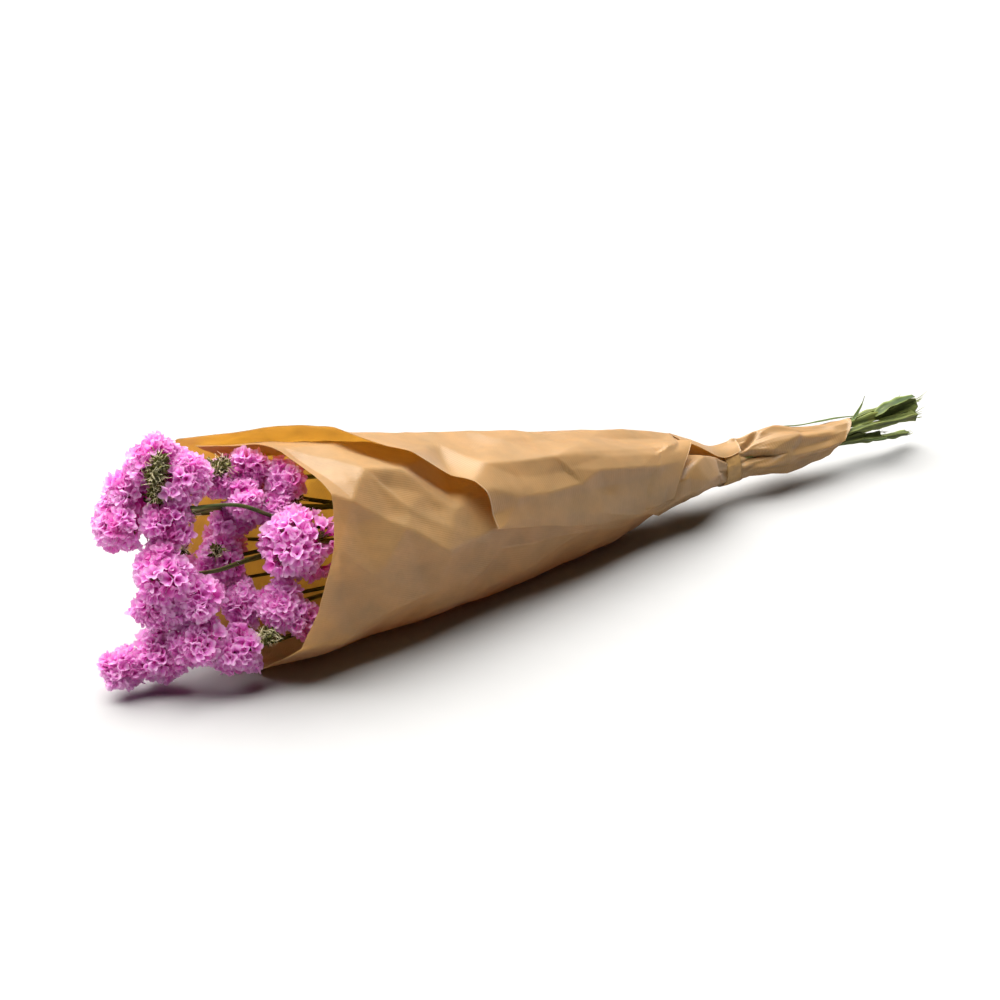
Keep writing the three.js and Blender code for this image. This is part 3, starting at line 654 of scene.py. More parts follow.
def grid_faces(rows, columns, closed=False):
    """Quads of a grid of points with the columns running fastest."""
    r, c = np.meshgrid(np.arange(rows - 1), np.arange(columns if closed else columns - 1), indexing="ij")
    a = r * columns + c
    b = r * columns + (c + 1) % columns
    return np.stack([a, b, b + columns, a + columns], axis=-1).reshape(-1, 4)


def cap_faces(first, count):
    """Triangles that close a ring of points."""
    k = np.arange(1, count - 1)
    return np.stack([np.full_like(k, first), first + k + 1, first + k], axis=-1)


def add_tube(parts, rings, material=0, marks=None):
    """A closed tube through rings of points, with a cap at both ends."""
    count, sides = rings.shape[:2]
    base = parts.count
    parts.add(rings, grid_faces(count, sides, closed=True), material, marks)
    end = (count - 1) * sides
    parts.faces.append(cap_faces(0, sides) + base)
    parts.faces.append(cap_faces(end, sides)[:, ::-1] + base)
    for _ in range(2):
        parts.materials.append(np.full(sides - 2, material))


def round_rings(centres, forward, radii, sides, reference=(0, 0, 1)):
    up, side = frames_along(forward, np.array(reference, dtype=float))
    turn = np.arange(sides) / sides * 2 * np.pi
    radii = np.broadcast_to(radii, len(centres))[:, None, None]
    spokes = up[:, None] * np.cos(turn)[:, None] - side[:, None] * np.sin(turn)[:, None]
    return centres[:, None] + radii * spokes


def finish_piece(piece, slot, *nodes):
    """Makes a piece ride with the bunch and stand for its solid nodes."""
    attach(piece, BODY)
    if nodes:
        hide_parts(*nodes)


# ---- Materials ------------------------------------------------------------------------

class Finish:
    """A material under construction."""

    def __init__(self, name):
        self.material = bpy.data.materials.new(name)
        self.material.use_nodes = True
        self.tree = self.material.node_tree
        self.tree.nodes.clear()

    def node(self, kind, inputs=None, **settings):
        node = self.tree.nodes.new(kind)
        for key, value in settings.items():
            setattr(node, key, value)
        for key, value in (inputs or {}).items():
            self.feed(node.inputs[key], value)
        return node

    def feed(self, socket, value):
        if isinstance(value, bpy.types.NodeSocket):
            self.tree.links.new(value, socket)
        else:
            socket.default_value = value

    def place(self):
        return self.node("ShaderNodeTexCoord").outputs["Object"]

    def stretched(self, vector, scale, rotation=(0, 0, 0)):
        inputs = {"Vector": vector, "Scale": scale, "Rotation": rotation}
        return self.node("ShaderNodeMapping", inputs).outputs["Vector"]

    def noise(self, vector, scale, detail=3.0, roughness=0.55):
        inputs = {"Vector": vector, "Scale": scale, "Detail": detail, "Roughness": roughness}
        return self.node("ShaderNodeTexNoise", inputs).outputs["Fac"]

    def calculate(self, operation, a, b=0.0):
        return self.node("ShaderNodeMath", {0: a, 1: b}, operation=operation).outputs[0]

    def spread(self, value, low, high, to_low=0.0, to_high=1.0):
        inputs = {"Value": value, 1: low, 2: high, 3: to_low, 4: to_high}
        return self.node("ShaderNodeMapRange", inputs, clamp=True).outputs[0]

    def blend(self, share, a, b, kind="MIX"):
        a, b = (c if isinstance(c, bpy.types.NodeSocket) else (*c[:3], 1) for c in (a, b))
        node = self.node("ShaderNodeMix", {0: share, 6: a, 7: b}, data_type="RGBA", blend_type=kind)
        return node.outputs[2]

    def bump(self, height, distance, strength=1.0, below=None):
        inputs = {"Height": height, "Distance": distance, "Strength": strength}
        if below is not None:
            inputs["Normal"] = below
        return self.node("ShaderNodeBump", inputs).outputs["Normal"]

    def surface(self, colour, normal, roughness, **sockets):
        inputs = {"Base Color": colour, "Normal": normal, "Roughness": roughness, **sockets}
        return self.node("ShaderNodeBsdfPrincipled", inputs).outputs["BSDF"]

    def let_light_through(self, surface, colour, normal, share):
        through = self.node("ShaderNodeBsdfTranslucent", {"Color": colour, "Normal": normal})
        inputs = {0: share, 1: surface, 2: through.outputs["BSDF"]}
        return self.node("ShaderNodeMixShader", inputs).outputs["Shader"]

    def done(self, surface):
        output = self.node("ShaderNodeOutputMaterial")
        self.tree.links.new(surface, output.inputs["Surface"])
        return self.material


PAPER_ROUGHNESS = 0.42
PAPER_GLOSS = {"Specular IOR Level": 0.9, "Sheen Weight": 0.3, "Sheen Roughness": 0.5}
PAPER_LIGHT_SHARE = 0.48         # share of the light that goes into each skin of the sheet


def kraft_paper(settings):
    """Kraft paper with fine straight ribs, mottling and short fibres."""
    finish = Finish("Ribbed kraft paper")
    sheet = finish.node("ShaderNodeUVMap", uv_map="Sheet").outputs["UV"]
    across_ribs = finish.stretched(sheet, (1, 1, 1), (0, 0, -math.radians(RIB_TURN * FLAT_SHARE)))
    inputs = {
        "Vector": across_ribs, "Scale": math.pi / 10 / settings.rib_spacing,
        "Distortion": 1.6, "Detail": 2.0, "Detail Scale": 0.5, "Detail Roughness": 0.6,
    }
    ribs = finish.node("ShaderNodeTexWave", inputs, bands_direction="X").outputs["Fac"]
    fibres = finish.noise(finish.stretched(across_ribs, (1, 0.25, 1)), 900, 2.0, 0.6)
    mottle = finish.noise(sheet, 46, 4.0, 0.6)
    clouds = finish.noise(sheet, 9, 2.0, 0.5)
    dark = tuple(c * 0.72 for c in settings.colour)
    pale = tuple(min(c * 1.16, 1) for c in settings.colour)
    colour = finish.blend(finish.spread(clouds, 0.3, 0.7), settings.colour, pale)
    colour = finish.blend(finish.spread(mottle, 0.35, 0.75, 0, 0.35), colour, dark)
    # Painted shade: the rib grooves are painted darker along the ribs
    colour = finish.blend(finish.spread(ribs, 0.1, 0.8, 0.2, 0), colour, dark)
    colour = finish.blend(finish.spread(fibres, 0.55, 0.75, 0, 0.3), colour, pale)
    height = finish.calculate("ADD", ribs, finish.calculate("MULTIPLY", fibres, 0.5))
    normal = finish.bump(mottle, 0.0008, 0.5)
    normal = finish.bump(height, 0.00008, 0.8, below=normal)
    surface = finish.surface(colour, normal, PAPER_ROUGHNESS, **PAPER_GLOSS)
    through = finish.blend(finish.spread(mottle, 0.3, 0.7, 0, 0.4), settings.light_through, colour)
    return finish.done(finish.let_light_through(surface, through, normal, PAPER_LIGHT_SHARE))


def tie_paper(settings):
    """A strip of tan paper tape, creased across."""
    finish = Finish("Tan tie tape")
    place = finish.place()
    creases = finish.noise(finish.stretched(place, (1, 0.25, 0.25)), 420, 3.0, 0.6)
    mottle = finish.noise(place, 160, 4.0, 0.6)
    dark = tuple(c * 0.75 for c in settings.tie_colour)
    colour = finish.blend(finish.spread(mottle, 0.3, 0.7), settings.tie_colour, dark)
    colour = finish.blend(finish.spread(creases, 0.5, 0.62, 0, 0.4), colour, dark)
    normal = finish.bump(creases, 0.0005, 0.8)
    return finish.done(finish.surface(colour, normal, 0.5, **{"Specular IOR Level": 0.4}))


THREAD_COLOUR = from_srgb(236, 226, 184)


def dried_green(name, base, light, grain_scale):
    """A dried stalk or leaf: dull green with paler streaks that run along it."""
    finish = Finish(name)
    place = finish.place()
    streaks = finish.noise(finish.stretched(place, (0.06, 1, 1)), grain_scale, 4.0, 0.6)
    patches = finish.noise(place, 60, 3.0, 0.6)
    brown = (base[0] * 1.2, base[1] * 0.62, base[2] * 0.5)
    dark = tuple(c * 0.4 for c in base)
    marks = finish.node("ShaderNodeVertexColor", layer_name="Marks").outputs["Color"]
    marked = finish.node("ShaderNodeSeparateColor", {"Color": marks}).outputs
    colour = finish.blend(finish.spread(streaks, 0.35, 0.68), dark, base)
    colour = finish.blend(finish.spread(streaks, 0.58, 0.78, 0, 0.75), colour, light)
    colour = finish.blend(finish.spread(patches, 0.52, 0.72, 0, 0.6), colour, brown)
    colour = finish.blend(finish.calculate("MULTIPLY", marked["Red"], 0.55), colour, light)
    colour = finish.blend(finish.calculate("MULTIPLY", marked["Green"], 0.85), colour, THREAD_COLOUR)
    normal = finish.bump(streaks, 0.0004, 0.8)
    return finish.done(finish.surface(colour, normal, 0.62, **{"Specular IOR Level": 0.35}))


def papery_calyx(settings):
    """Papery pink funnel: a deep throat that is partly the calyx's own tone and partly painted shade,
    a pale rim that is partly the papery edge and partly a painted highlight, and fine ribs. The marks
    hold the place along the funnel, the calyx's own tint, and the place between two lobes."""
    finish = Finish("Papery pink calyx")
    marks = finish.node("ShaderNodeVertexColor", layer_name="Marks").outputs["Color"]
    parts = finish.node("ShaderNodeSeparateColor", {"Color": marks}).outputs
    height, tint, lobe = parts["Red"], parts["Green"], parts["Blue"]
    crinkle = finish.noise(finish.place(), 700, 2.0, 0.6)
    green_foot = from_srgb(120, 130, 70)
    # The deep colour low in the funnel is partly the calyx's own tone and partly painted shade in its
    # depth
    colour = finish.blend(finish.spread(height, 0.05, 0.4), green_foot, settings.throat)
    colour = finish.blend(finish.spread(height, 0.35, 0.75), colour, settings.petal)
    # The pale rim is partly the calyx's papery edge and partly a painted highlight
    rim_share = finish.calculate("ADD", height, finish.calculate("MULTIPLY", crinkle, 0.12))
    colour = finish.blend(finish.spread(rim_share, 0.9, 1.09, 0, 0.85), colour, settings.rim)
    # Painted shade: the places between two lobes are darkened towards the throat colour
    colour = finish.blend(finish.calculate("MULTIPLY", lobe, 0.35), colour, settings.throat)
    colour = finish.blend(finish.spread(tint, 0.0, 0.35, 0.55, 0), colour, settings.throat)
    colour = finish.blend(finish.spread(tint, 0.6, 1.0, 0, 0.45), colour, settings.rim)
    normal = finish.bump(crinkle, 0.0003, 0.7)
    surface = finish.surface(colour, normal, 0.55, **{"Specular IOR Level": 0.3})
    return finish.done(finish.let_light_through(surface, colour, normal, 0.5))


def head_core(settings, stem_settings):
    """The depth of a head: deep magenta darkened as painted shade, flecked with green bracts."""
    finish = Finish("Bracts and painted shade of the flower depth")
    place = finish.place()
    flecks = finish.noise(place, 260, 3.0, 0.6)
    fine = finish.noise(place, 900, 2.0, 0.6)
    # Painted shade: the core takes a darker copy of the throat colour
    depth = tuple(c * 0.9 for c in settings.throat)
    colour = finish.blend(finish.spread(flecks, 0.3, 0.42, 0.5, 1), stem_settings.green, depth)
    colour = finish.blend(finish.spread(fine, 0.6, 0.8, 0, 0.4), colour, settings.petal)
    normal = finish.bump(fine, 0.0006, 0.9)
    return finish.done(finish.surface(colour, normal, 0.7, **{"Specular IOR Level": 0.2}))


def pale_floor():
    """A plain white studio floor."""
    finish = Finish("Plain studio floor")
    grain = finish.noise(finish.place(), 40, 2.0, 0.5)
    colour = finish.blend(grain, (0.385, 0.385, 0.385), (0.4, 0.4, 0.4))
    normal = finish.bump(grain, 0.00002, 0.2)
    return finish.done(finish.surface(colour, normal, 0.9, **{"Specular IOR Level": 0.1}))


# ---- The paper sheet --------------------------------------------------------------------

def outer_edge_turn(x):
    """Turn at the sheet's outer edge at this x: the free side of the outer layer."""
    return along([(edge_x, turn) for turn, edge_x in FREE_SIDE], x)


def sheet_edge(turn):
    """Place along x of the sheet's edge: its mouth, and its free side past the corner."""
    return np.where(turn < OUTER_CORNER_TURN, along(MOUTH_EDGE, turn), along(FREE_SIDE, turn))


def fold_height(angle, x):
    """Height of the long folds and the tail's pleats."""
    height = np.zeros(np.broadcast(angle, x).shape)
    for rise, at, spread, low, high in SOFT_FOLDS:
        across = np.clip(1 - np.abs(angle_between(angle, at)) / spread, 0, 1)
        height += rise * across * inside(low, high, x)
    pleat = np.cos(np.radians(angle * TAIL_PLEAT_COUNT))
    return height + TAIL_PLEAT_DEPTH * pleat * inside(*TAIL_PLEAT_STRETCH, x, TAIL_PLEAT_FADE)


def inset(turn, x):
    """How far the sheet lies inside the wrap's outline."""
    covered_to = outer_edge_turn(x) - 360 + COLUMN_TURN
    covered = 1 - smoothstep(covered_to, covered_to + LAYER_BLEND_TURN, turn)
    return covered * (along(LAYER_GAP, x) + SOLID_THICKNESS)


def sag(turn, x):
    """How far the inner layer sags under the mouth of the outer one."""
    edge = sheet_edge(np.minimum(turn, SAG_TURNS[1]) + 360)
    starts = smoothstep(edge - SAG_BEFORE, edge + 2, x)
    reach = starts * (1 - smoothstep(edge + SAG_AFTER, edge + SAG_END, x))
    return SAG * reach * smoothstep(*SAG_START_TURNS, turn) * (1 - smoothstep(*SAG_TURNS, turn))


def dome_height(angle, x):
    """Height of the rounded swellings."""
    height = np.zeros(angle.shape)
    for rise, size, at_x, at_angle in DOMES:
        round_way = along(WRAP, x, 3) * np.radians(angle_between(angle, at_angle))
        away = np.hypot(x - at_x, round_way) / size
        height += rise * np.clip(1 - away ** 2, 0, 1) ** 0.7
    return height


def flare(turn, x):
    """How far the outer layer's mouth stands off."""
    edge = sheet_edge(turn)
    rise, full, fall, end = FLARE_TURNS
    reach = (1 - np.clip((x - edge) / FLARE_LENGTH, 0, 1)) ** 1.6
    return FLARE * reach * smoothstep(rise, full, turn) * (1 - smoothstep(fall, end, turn))


def free_side_lift(turn, x):
    """How far the free side of the outer layer stands off."""
    before = np.clip((outer_edge_turn(x) - turn) / FREE_SIDE_WIDTH, 0, 1)
    return FREE_SIDE_LIFT * (1 - before) ** 1.5 * (1 - smoothstep(*FREE_SIDE_FADE, x))


def collar_height(x):
    """Height of the paper pushed up beside the tie."""
    return sum(rise * np.exp(-((x - at) / half) ** 2) for rise, at, half in COLLARS)


def free_corners(rng):
    """Corners of facets with no set place, on a shaken grid over the whole sheet."""
    fixed = np.vstack([
        np.array(start) + np.linspace(0, 1, 9)[:, None] * (np.array(end) - start)
        for line in FOLD_LINES for start, end in zip(line, line[1:])
    ])
    corners = []
    for low, high, (step_x, step_angle) in ((-207, 232, FREE_STEP), (236, 372, NECK_FREE_STEP)):
        for x in np.arange(low, high, step_x):
            for angle in np.arange(-180, 180, step_angle):
                place = x + rng.uniform(-0.35, 0.35) * step_x, angle + rng.uniform(-0.4, 0.4) * step_angle
                away = (fixed[:, 1] - place[1]) * FACET_DEGREE
                if np.hypot(fixed[:, 0] - place[0], away).min() > FREE_CLEARANCE:
                    corners.append((*place, rng.uniform(*FREE_HEIGHT)))
    return corners


def fold_net(rng):
    """The sheet's facets as triangles of x, distance round the wrap and height."""
    lines = [*FOLD_LINES, *([corner] for corner in free_corners(rng))]
    corners, edges = [], []
    for around in (-360, 0, 360):
        for line in lines:
            first = len(corners)
            corners += [(x, (angle + around) * FACET_DEGREE, height) for x, angle, height in line]
            edges += [(first + k, first + k + 1) for k in range(len(line) - 1)]
    places = [Vector(corner[:2]) for corner in corners]
    points, _, triangles, sources, _, _ = delaunay_2d_cdt(places, edges, [], 0, 0.01)
    heights = np.full(len(points), np.nan)
    for k, origin in enumerate(sources):
        if origin:
            heights[k] = corners[origin[0]][2]
    heights[np.isnan(heights)] = 0
    points = np.array([tuple(point) for point in points])
    triangles = [t for t in triangles if np.abs(points[list(t), 1]).min() < 185 * FACET_DEGREE]
    return np.column_stack([points, heights]), triangles


def facet_height(angle, x, rng):
    """Height of the sheet's flat facets above the wrap's plain outline."""
    net, triangles = fold_net(rng)
    place = np.stack([x, angle_between(angle, 0) * FACET_DEGREE], axis=-1).reshape(-1, 2)
    plain = along(WRAP, place[:, 0], 3)
    way = np.radians(net[:, 1] / FACET_DEGREE)
    reach = along(WRAP, net[:, 0], 3) * FACET_REACH + net[:, 2]
    spokes = np.stack([np.cos(way), np.sin(way)], axis=-1) * reach[:, None]
    height = np.zeros(len(place))
    for triangle in triangles:
        corners = list(triangle)
        a, b, c = net[corners, :2]
        low, high = net[corners, :2].min(axis=0), net[corners, :2].max(axis=0)
        index = np.nonzero(np.all((place >= low) & (place <= high), axis=1))[0]
        sides = np.column_stack([b - a, c - a])
        if len(index) and abs(np.linalg.det(sides)) > 1e-6:
            shares = (place[index] - a) @ np.linalg.inv(sides).T
            hit = (shares.min(axis=1) >= -1e-6) & (shares.sum(axis=1) <= 1 + 1e-6)
            index, shares = index[hit], shares[hit]
            flat = spokes[corners[0]] + shares @ (spokes[corners[1:]] - spokes[corners[0]])
            height[index] = np.linalg.norm(flat, axis=1) - plain[index]
    return height.reshape(x.shape)


def gather_height(angle, x, rng):
    """Uneven gathers that run into the tie."""
    height = np.zeros(angle.shape)
    for k in range(GATHERS):
        at = (k + rng.uniform(-0.3, 0.3)) / GATHERS * 360
        drift = rng.uniform(-0.16, 0.16)
        spread = rng.uniform(9, 17)
        depth = GATHER_DEPTH * rng.uniform(0.5, 1.2)
        across = np.abs(angle_between(angle, at + drift * (x - NECK_FROM)))
        height -= depth * np.clip(1 - across / spread, 0, 1) ** 0.8
    share = GATHER_BEFORE_TIE + (1 - GATHER_BEFORE_TIE) * smoothstep(NECK_FROM, NECK_TO, x)
    return height * share * inside(*GATHER_STRETCH, x, GATHER_FADE)


def flat_place(turn, x):
    """Where a place of the sheet lies on the flat sheet, in metres."""
    phi = np.radians(turn * FLAT_SHARE)
    rho = FLAT_APEX_X - np.minimum(x, NECK_FROM)
    past_neck = np.maximum(x - NECK_FROM, 0)
    middle = math.radians(SHEET_TURN / 2 * FLAT_SHARE)
    u = rho * np.cos(phi) - past_neck * math.cos(middle)
    v = rho * np.sin(phi) - past_neck * math.sin(middle)
    return np.stack([u, v], axis=-1) * METRES


def sheet_rows(turn):
    """Places along x of a column of the sheet, from the mouth edge to the tail's end."""
    mouth = sheet_edge(turn)[:, None]
    power = INNER_ROW_POWER + (1 - INNER_ROW_POWER) * smoothstep(150, 230, turn)[:, None]
    body = mouth + (SHOULDER_X - mouth) * np.linspace(0, 1, BODY_ROWS, endpoint=False) ** power
    neck = np.linspace(SHOULDER_X, TAIL_LAST_ROW_X, NECK_ROWS, endpoint=False)
    end = TAIL_END_X + TAIL_END_SLANT * np.cos(np.radians(START_ANGLE - turn - TAIL_LONGEST_ANGLE))
    tail = TAIL_LAST_ROW_X + (end[:, None] - TAIL_LAST_ROW_X) * np.linspace(0, 1, TAIL_ROWS)
    return np.hstack([body, np.tile(neck, (len(turn), 1)), tail])


def paper_height(angle, x):
    """Height of everything that both layers share, above the wrap's plain outline."""
    rng = np.random.default_rng(SEED)
    folded = facet_height(angle, x, rng) + dome_height(angle, x) + gather_height(angle, x, rng)
    under_tie = np.exp(-((x - TIE_X) / TIE_WIDTH * 2) ** 4)
    return fold_height(angle, x) + folded * (1 - under_tie) + collar_height(x)


def crumple_height(cells, x, crumple):
    """Small uneven facets, which each layer has of its own."""
    noise = Noise(SEED)
    large = 0.3 - np.abs(noise(cells[..., 0] / 36, cells[..., 1] / 36))
    small = 0.3 - np.abs(noise(cells[..., 0] / 14 + 7, cells[..., 1] / 14))
    return crumple * inside(-260, 232, x, 40) * (large + 0.4 * small)


def add_sheet(parts, x, angle, radius, thickness):
    """A closed thin sheet over a grid of places round the wrap's axis."""
    for depth in (0, thickness):
        y = along(WRAP, x, 1) - (radius - depth) * np.cos(np.radians(angle))
        z = along(WRAP, x, 2) + (radius - depth) * np.sin(np.radians(angle))
        points = np.stack([x, y, np.maximum(z, depth)], axis=-1)
        faces = grid_faces(*x.shape)
        parts.add(points, faces if depth == 0 else faces[:, ::-1])
    parts.faces.append(rim_faces(*x.shape))
    parts.materials.append(np.zeros(len(parts.faces[-1]), dtype=int))


def build_paper(settings):
    """One sheet, rolled about one and a half turns, and its corner over the tie."""
    fine = np.linspace(FIRST_TURN, SHEET_TURN, 2000)
    passed = np.concatenate([[0], np.cumsum(along(COLUMN_DENSITY, fine[1:]))])
    columns = np.interp(np.linspace(0, passed[-1], SHEET_COLUMNS), passed, fine)
    columns[np.argmin(np.abs(columns - OUTER_CORNER_TURN))] = OUTER_CORNER_TURN
    x = sheet_rows(columns)
    turn = np.broadcast_to(columns[:, None], x.shape)
    angle = START_ANGLE - turn
    flat = flat_place(turn, x)
    height = paper_height(angle, x) + crumple_height(flat / METRES, x, settings.crumple / METRES)
    radius = along(WRAP, x, 3) + height - inset(turn, x) - sag(turn, x)
    radius = radius + np.maximum(flare(turn, x), free_side_lift(turn, x))
    thickness = settings.thickness / METRES
    material = kraft_paper(settings)
    parts = MeshParts()
    add_sheet(parts, x, angle, radius, thickness)
    both = np.vstack([flat.reshape(-1, 2)] * 2)
    piece = parts.build("ribbed_wrap", [material], flat_map=both)
    finish_piece(piece, "kraft_paper", "paper_wrap")

    share, across = np.meshgrid(np.linspace(0, 1, EXTRA_ROWS), np.linspace(1, 0, EXTRA_ROWS))
    x = LAP_FROM + (LAP_TO[0] + (LAP_TO[1] - LAP_TO[0]) * across - LAP_FROM) * share
    side = along(LAP_SIDE, x)
    angle = side + (LAP_LAST_ANGLE - side) * across
    on_paper = along(WRAP, x, 3) + paper_height(angle, x) + PIECE_ROOM
    radius = np.maximum(on_paper, along(LAP_RADIUS, x))
    add_paper_piece("wrap_corner", material, x, angle, radius, thickness)

    share, angle = np.meshgrid(
        np.linspace(0, 1, EXTRA_ROWS), np.linspace(SHOULDER_FOLD[-1][0], SHOULDER_FOLD[0][0], EXTRA_ROWS),
    )
    edge = along(SHOULDER_FOLD, angle)
    x = edge + SHOULDER_FOLD_LENGTH * (share - 1)
    start = edge - SHOULDER_FOLD_LENGTH
    from_radius = along(WRAP, start, 3) + paper_height(angle, start) - 1
    to_radius = along(WRAP, edge, 3) + along(SHOULDER_FOLD, angle, 2)
    on_paper = along(WRAP, x, 3) + paper_height(angle, x) + PIECE_ROOM * share
    straight = from_radius + (to_radius - from_radius) * share
    radius = np.maximum(straight, on_paper - 1 + smoothstep(0, 0.3, share))
    add_paper_piece("shoulder_fold", material, x, angle, radius, thickness)


def add_paper_piece(name, material, x, angle, radius, thickness):
    """A small separate sheet of the wrap's paper."""
    parts = MeshParts()
    add_sheet(parts, x, angle, radius, thickness)
    flat = flat_place(START_ANGLE + 360 - angle, x).reshape(-1, 2)
    finish_piece(parts.build(name, [material], flat_map=np.vstack([flat, flat])), "kraft_paper")


def rim_faces(columns, rows):
    """Quads that join two skins, each a grid of points, round their edge."""
    index = np.arange(columns * rows).reshape(columns, rows)
    edge = np.concatenate([index[:, 0], index[-1, 1:], index[-2::-1, -1], index[0, -2:0:-1]])
    onward = np.roll(edge, -1)
    skin = columns * rows
    return np.stack([edge, onward, onward + skin, edge + skin], axis=-1)[:, ::-1]


# ---- The tie --------------------------------------------------------------------------------

TIE_COLUMNS = 140
TIE_PROFILE = [
    (-0.5, 0), (-0.5, 0.9), (-0.42, 1.1), (-0.2, 1.2), (0, 1.25), (0.2, 1.2), (0.42, 1.1), (0.5, 0.9),
    (0.5, 0), (0, 0),
]
TIE_LAP_ANGLE = 62
TIE_LAP_HEIGHT = 0.4


def build_tie(settings):
    """A band of tape round the neck, creased across and lapped over itself."""
    noise = Noise(SEED + 1)
    angle = np.linspace(0, 360, TIE_COLUMNS, endpoint=False)
    inner = NECK_RADIUS + TIE_CLEARANCE
    past_lap = (angle - TIE_LAP_ANGLE) % 360
    lap = TIE_LAP_HEIGHT * np.exp(-past_lap / 60)
    rings = []
    for across, share in TIE_PROFILE:
        crease = 0.35 * noise(angle / 7, across * 2) if share > 0.5 else 0
        wander = 0.5 * noise(angle / 40, 5) + 0.25 * np.sign(across) * noise(angle / 9, 9 + across)
        radius = inner + TIE_THICKNESS * share + (lap + crease) * (share > 0)
        x = TIE_X + across * TIE_WIDTH + wander
        y = -radius * np.cos(np.radians(angle))
        z = NECK_HEIGHT + radius * np.sin(np.radians(angle))
        rings.append(np.stack([x, y, z], axis=-1))
    rings = np.stack(rings, axis=1)
    rings = np.concatenate([rings, rings[:1]])
    count, sides = rings.shape[:2]
    faces = grid_faces(count, sides, closed=True)
    faces = np.where(faces >= (count - 1) * sides, faces - (count - 1) * sides, faces)
    parts = MeshParts()
    parts.add(rings[:-1], faces)
    piece = parts.build("tape_tie", [tie_paper(settings)])
    finish_piece(piece, "tie", "tie_band")


# ---- Stems ------------------------------------------------------------------------------------

def slot_point(x, slot, radius):
    y, z = float(along(WRAP, x, 1)), float(along(WRAP, x, 2))
    if slot is None:
        return (x, y, z)
    turn = math.radians(slot)
    return (x, y - radius * math.cos(turn), z + radius * math.sin(turn))


def stem_route(slot, cut_end, cone):
    return [
        *cut_end[::-1], slot_point(TAIL_X, slot, TAIL_SLOT_RADIUS),
        slot_point(NECK_RUN[1], slot, NECK_SLOT_RADIUS),
        slot_point(NECK_RUN[0], slot, NECK_SLOT_RADIUS), *cone,
    ]


RED_MARK = np.array([1, 0, 0, 1])


def add_winged_stalk(parts, route, slot, cut_end, noise):
    """A stalk with three thin wings, which wave where they are free."""
    centres, forward = curve_through(route, STEM_STEP)
    x = centres[:, 0]
    neck = CENTRE_STEM if slot is None else NECK_STEM
    stations = [
        (route[-1][0], HEAD_STEM), (SHOULDER_X, CONE_STEM), (NECK_RUN[0], neck),
        (NECK_RUN[1], neck), (TAIL_X, TAIL_STEM), (route[0][0], cut_end),
    ]
    reach = along(stations, x)
    wing_angle = math.radians(CENTRE_WING_ANGLE if slot is None else slot)
    reference = np.array([0, -math.cos(wing_angle), math.sin(wing_angle)])
    up, side = frames_along(forward, reference)
    free = np.maximum(smoothstep(TAIL_X, TAIL_X + 24, x), 0.5 * (1 - smoothstep(120, 215, x)))
    ring, marks = [], []
    for wing in range(WINGS):
        wave = noise(x / 9 + 31, wing * 5, slot or 3)
        fine = noise(x / 3.5 + 17, wing * 5 + 2, slot or 3)
        edge = 1 + free * (WING_WAVE * wave + 0.2 * fine)
        sway = free * 16 * noise(x / 13 + 3, wing * 7 + 1)
        for offset, share in WING_SECTION:
            turn = np.radians(wing * 360 / WINGS + offset + sway * share)
            radius = reach * (STALK_SHARE + (1 - STALK_SHARE) * share * np.maximum(edge, 0.25))
            spoke = up * np.cos(turn)[:, None] - side * np.sin(turn)[:, None]
            ring.append(centres + spoke * radius[:, None])
            marks.append(np.full(len(x), share))
    marks = np.stack(marks, axis=1)[..., None] * RED_MARK
    add_tube(parts, np.stack(ring, axis=1), marks=marks)


def add_branch(parts, line, noise, radius=BRANCH_STEM):
    centres, forward = curve_through(line, BRANCH_STEP)
    taper = np.linspace(1, 0.7, len(centres))
    wobble = noise(centres[:, 0] / 11, centres[:, 1] / 11, centres[:, 2] / 11)
    add_tube(parts, round_rings(centres, forward, radius * taper * (1 + 0.12 * wobble), BRANCH_SIDES))


FIBRES = 7
FIBRE_LENGTH = (3, 9)


def add_cut_fibres(parts, route, rng):
    """Torn fibres that stand out of a cut end."""
    end, before = np.array(route[0], dtype=float), np.array(route[1], dtype=float)
    out = unit(end - before)
    for _ in range(FIBRES):
        foot = end + rng.normal(0, 0.8, 3) - out * 3
        tip = foot + (out + rng.normal(0, 0.22, 3)) * (3 + rng.uniform(*FIBRE_LENGTH))
        middle = (foot + tip) / 2 + rng.normal(0, 0.5, 3)
        centres, forward = curve_through([foot, middle, tip], 1.5)
        radii = np.linspace(0.42, 0.1, len(centres))
        marks = np.tile(RED_MARK, (len(centres) * 4, 1))
        add_tube(parts, round_rings(centres, forward, radii, 4), marks=marks)


def build_stems(settings):
    """Every stem with its wings, side branches and torn fibres."""
    rng = np.random.default_rng(SEED + 2)
    noise = Noise(SEED + 2)
    material = dried_green("Dried winged stem", settings.green, settings.wing_green, 520)
    for node, (slot, cut_end, cone, branches) in STEMS.items():
        parts = MeshParts()
        route = stem_route(slot, cut_end, cone)
        add_winged_stalk(parts, route, slot, WIDE_CUT_ENDS.get(node, CUT_END_STEM), noise)
        for line in branches:
            add_branch(parts, line, noise)
        add_cut_fibres(parts, route, rng)
        piece = parts.build(f"dried_{node}", [material], marked=True)
        finish_piece(piece, "stem", node)


# ---- Leaves -------------------------------------------------------------------------------------

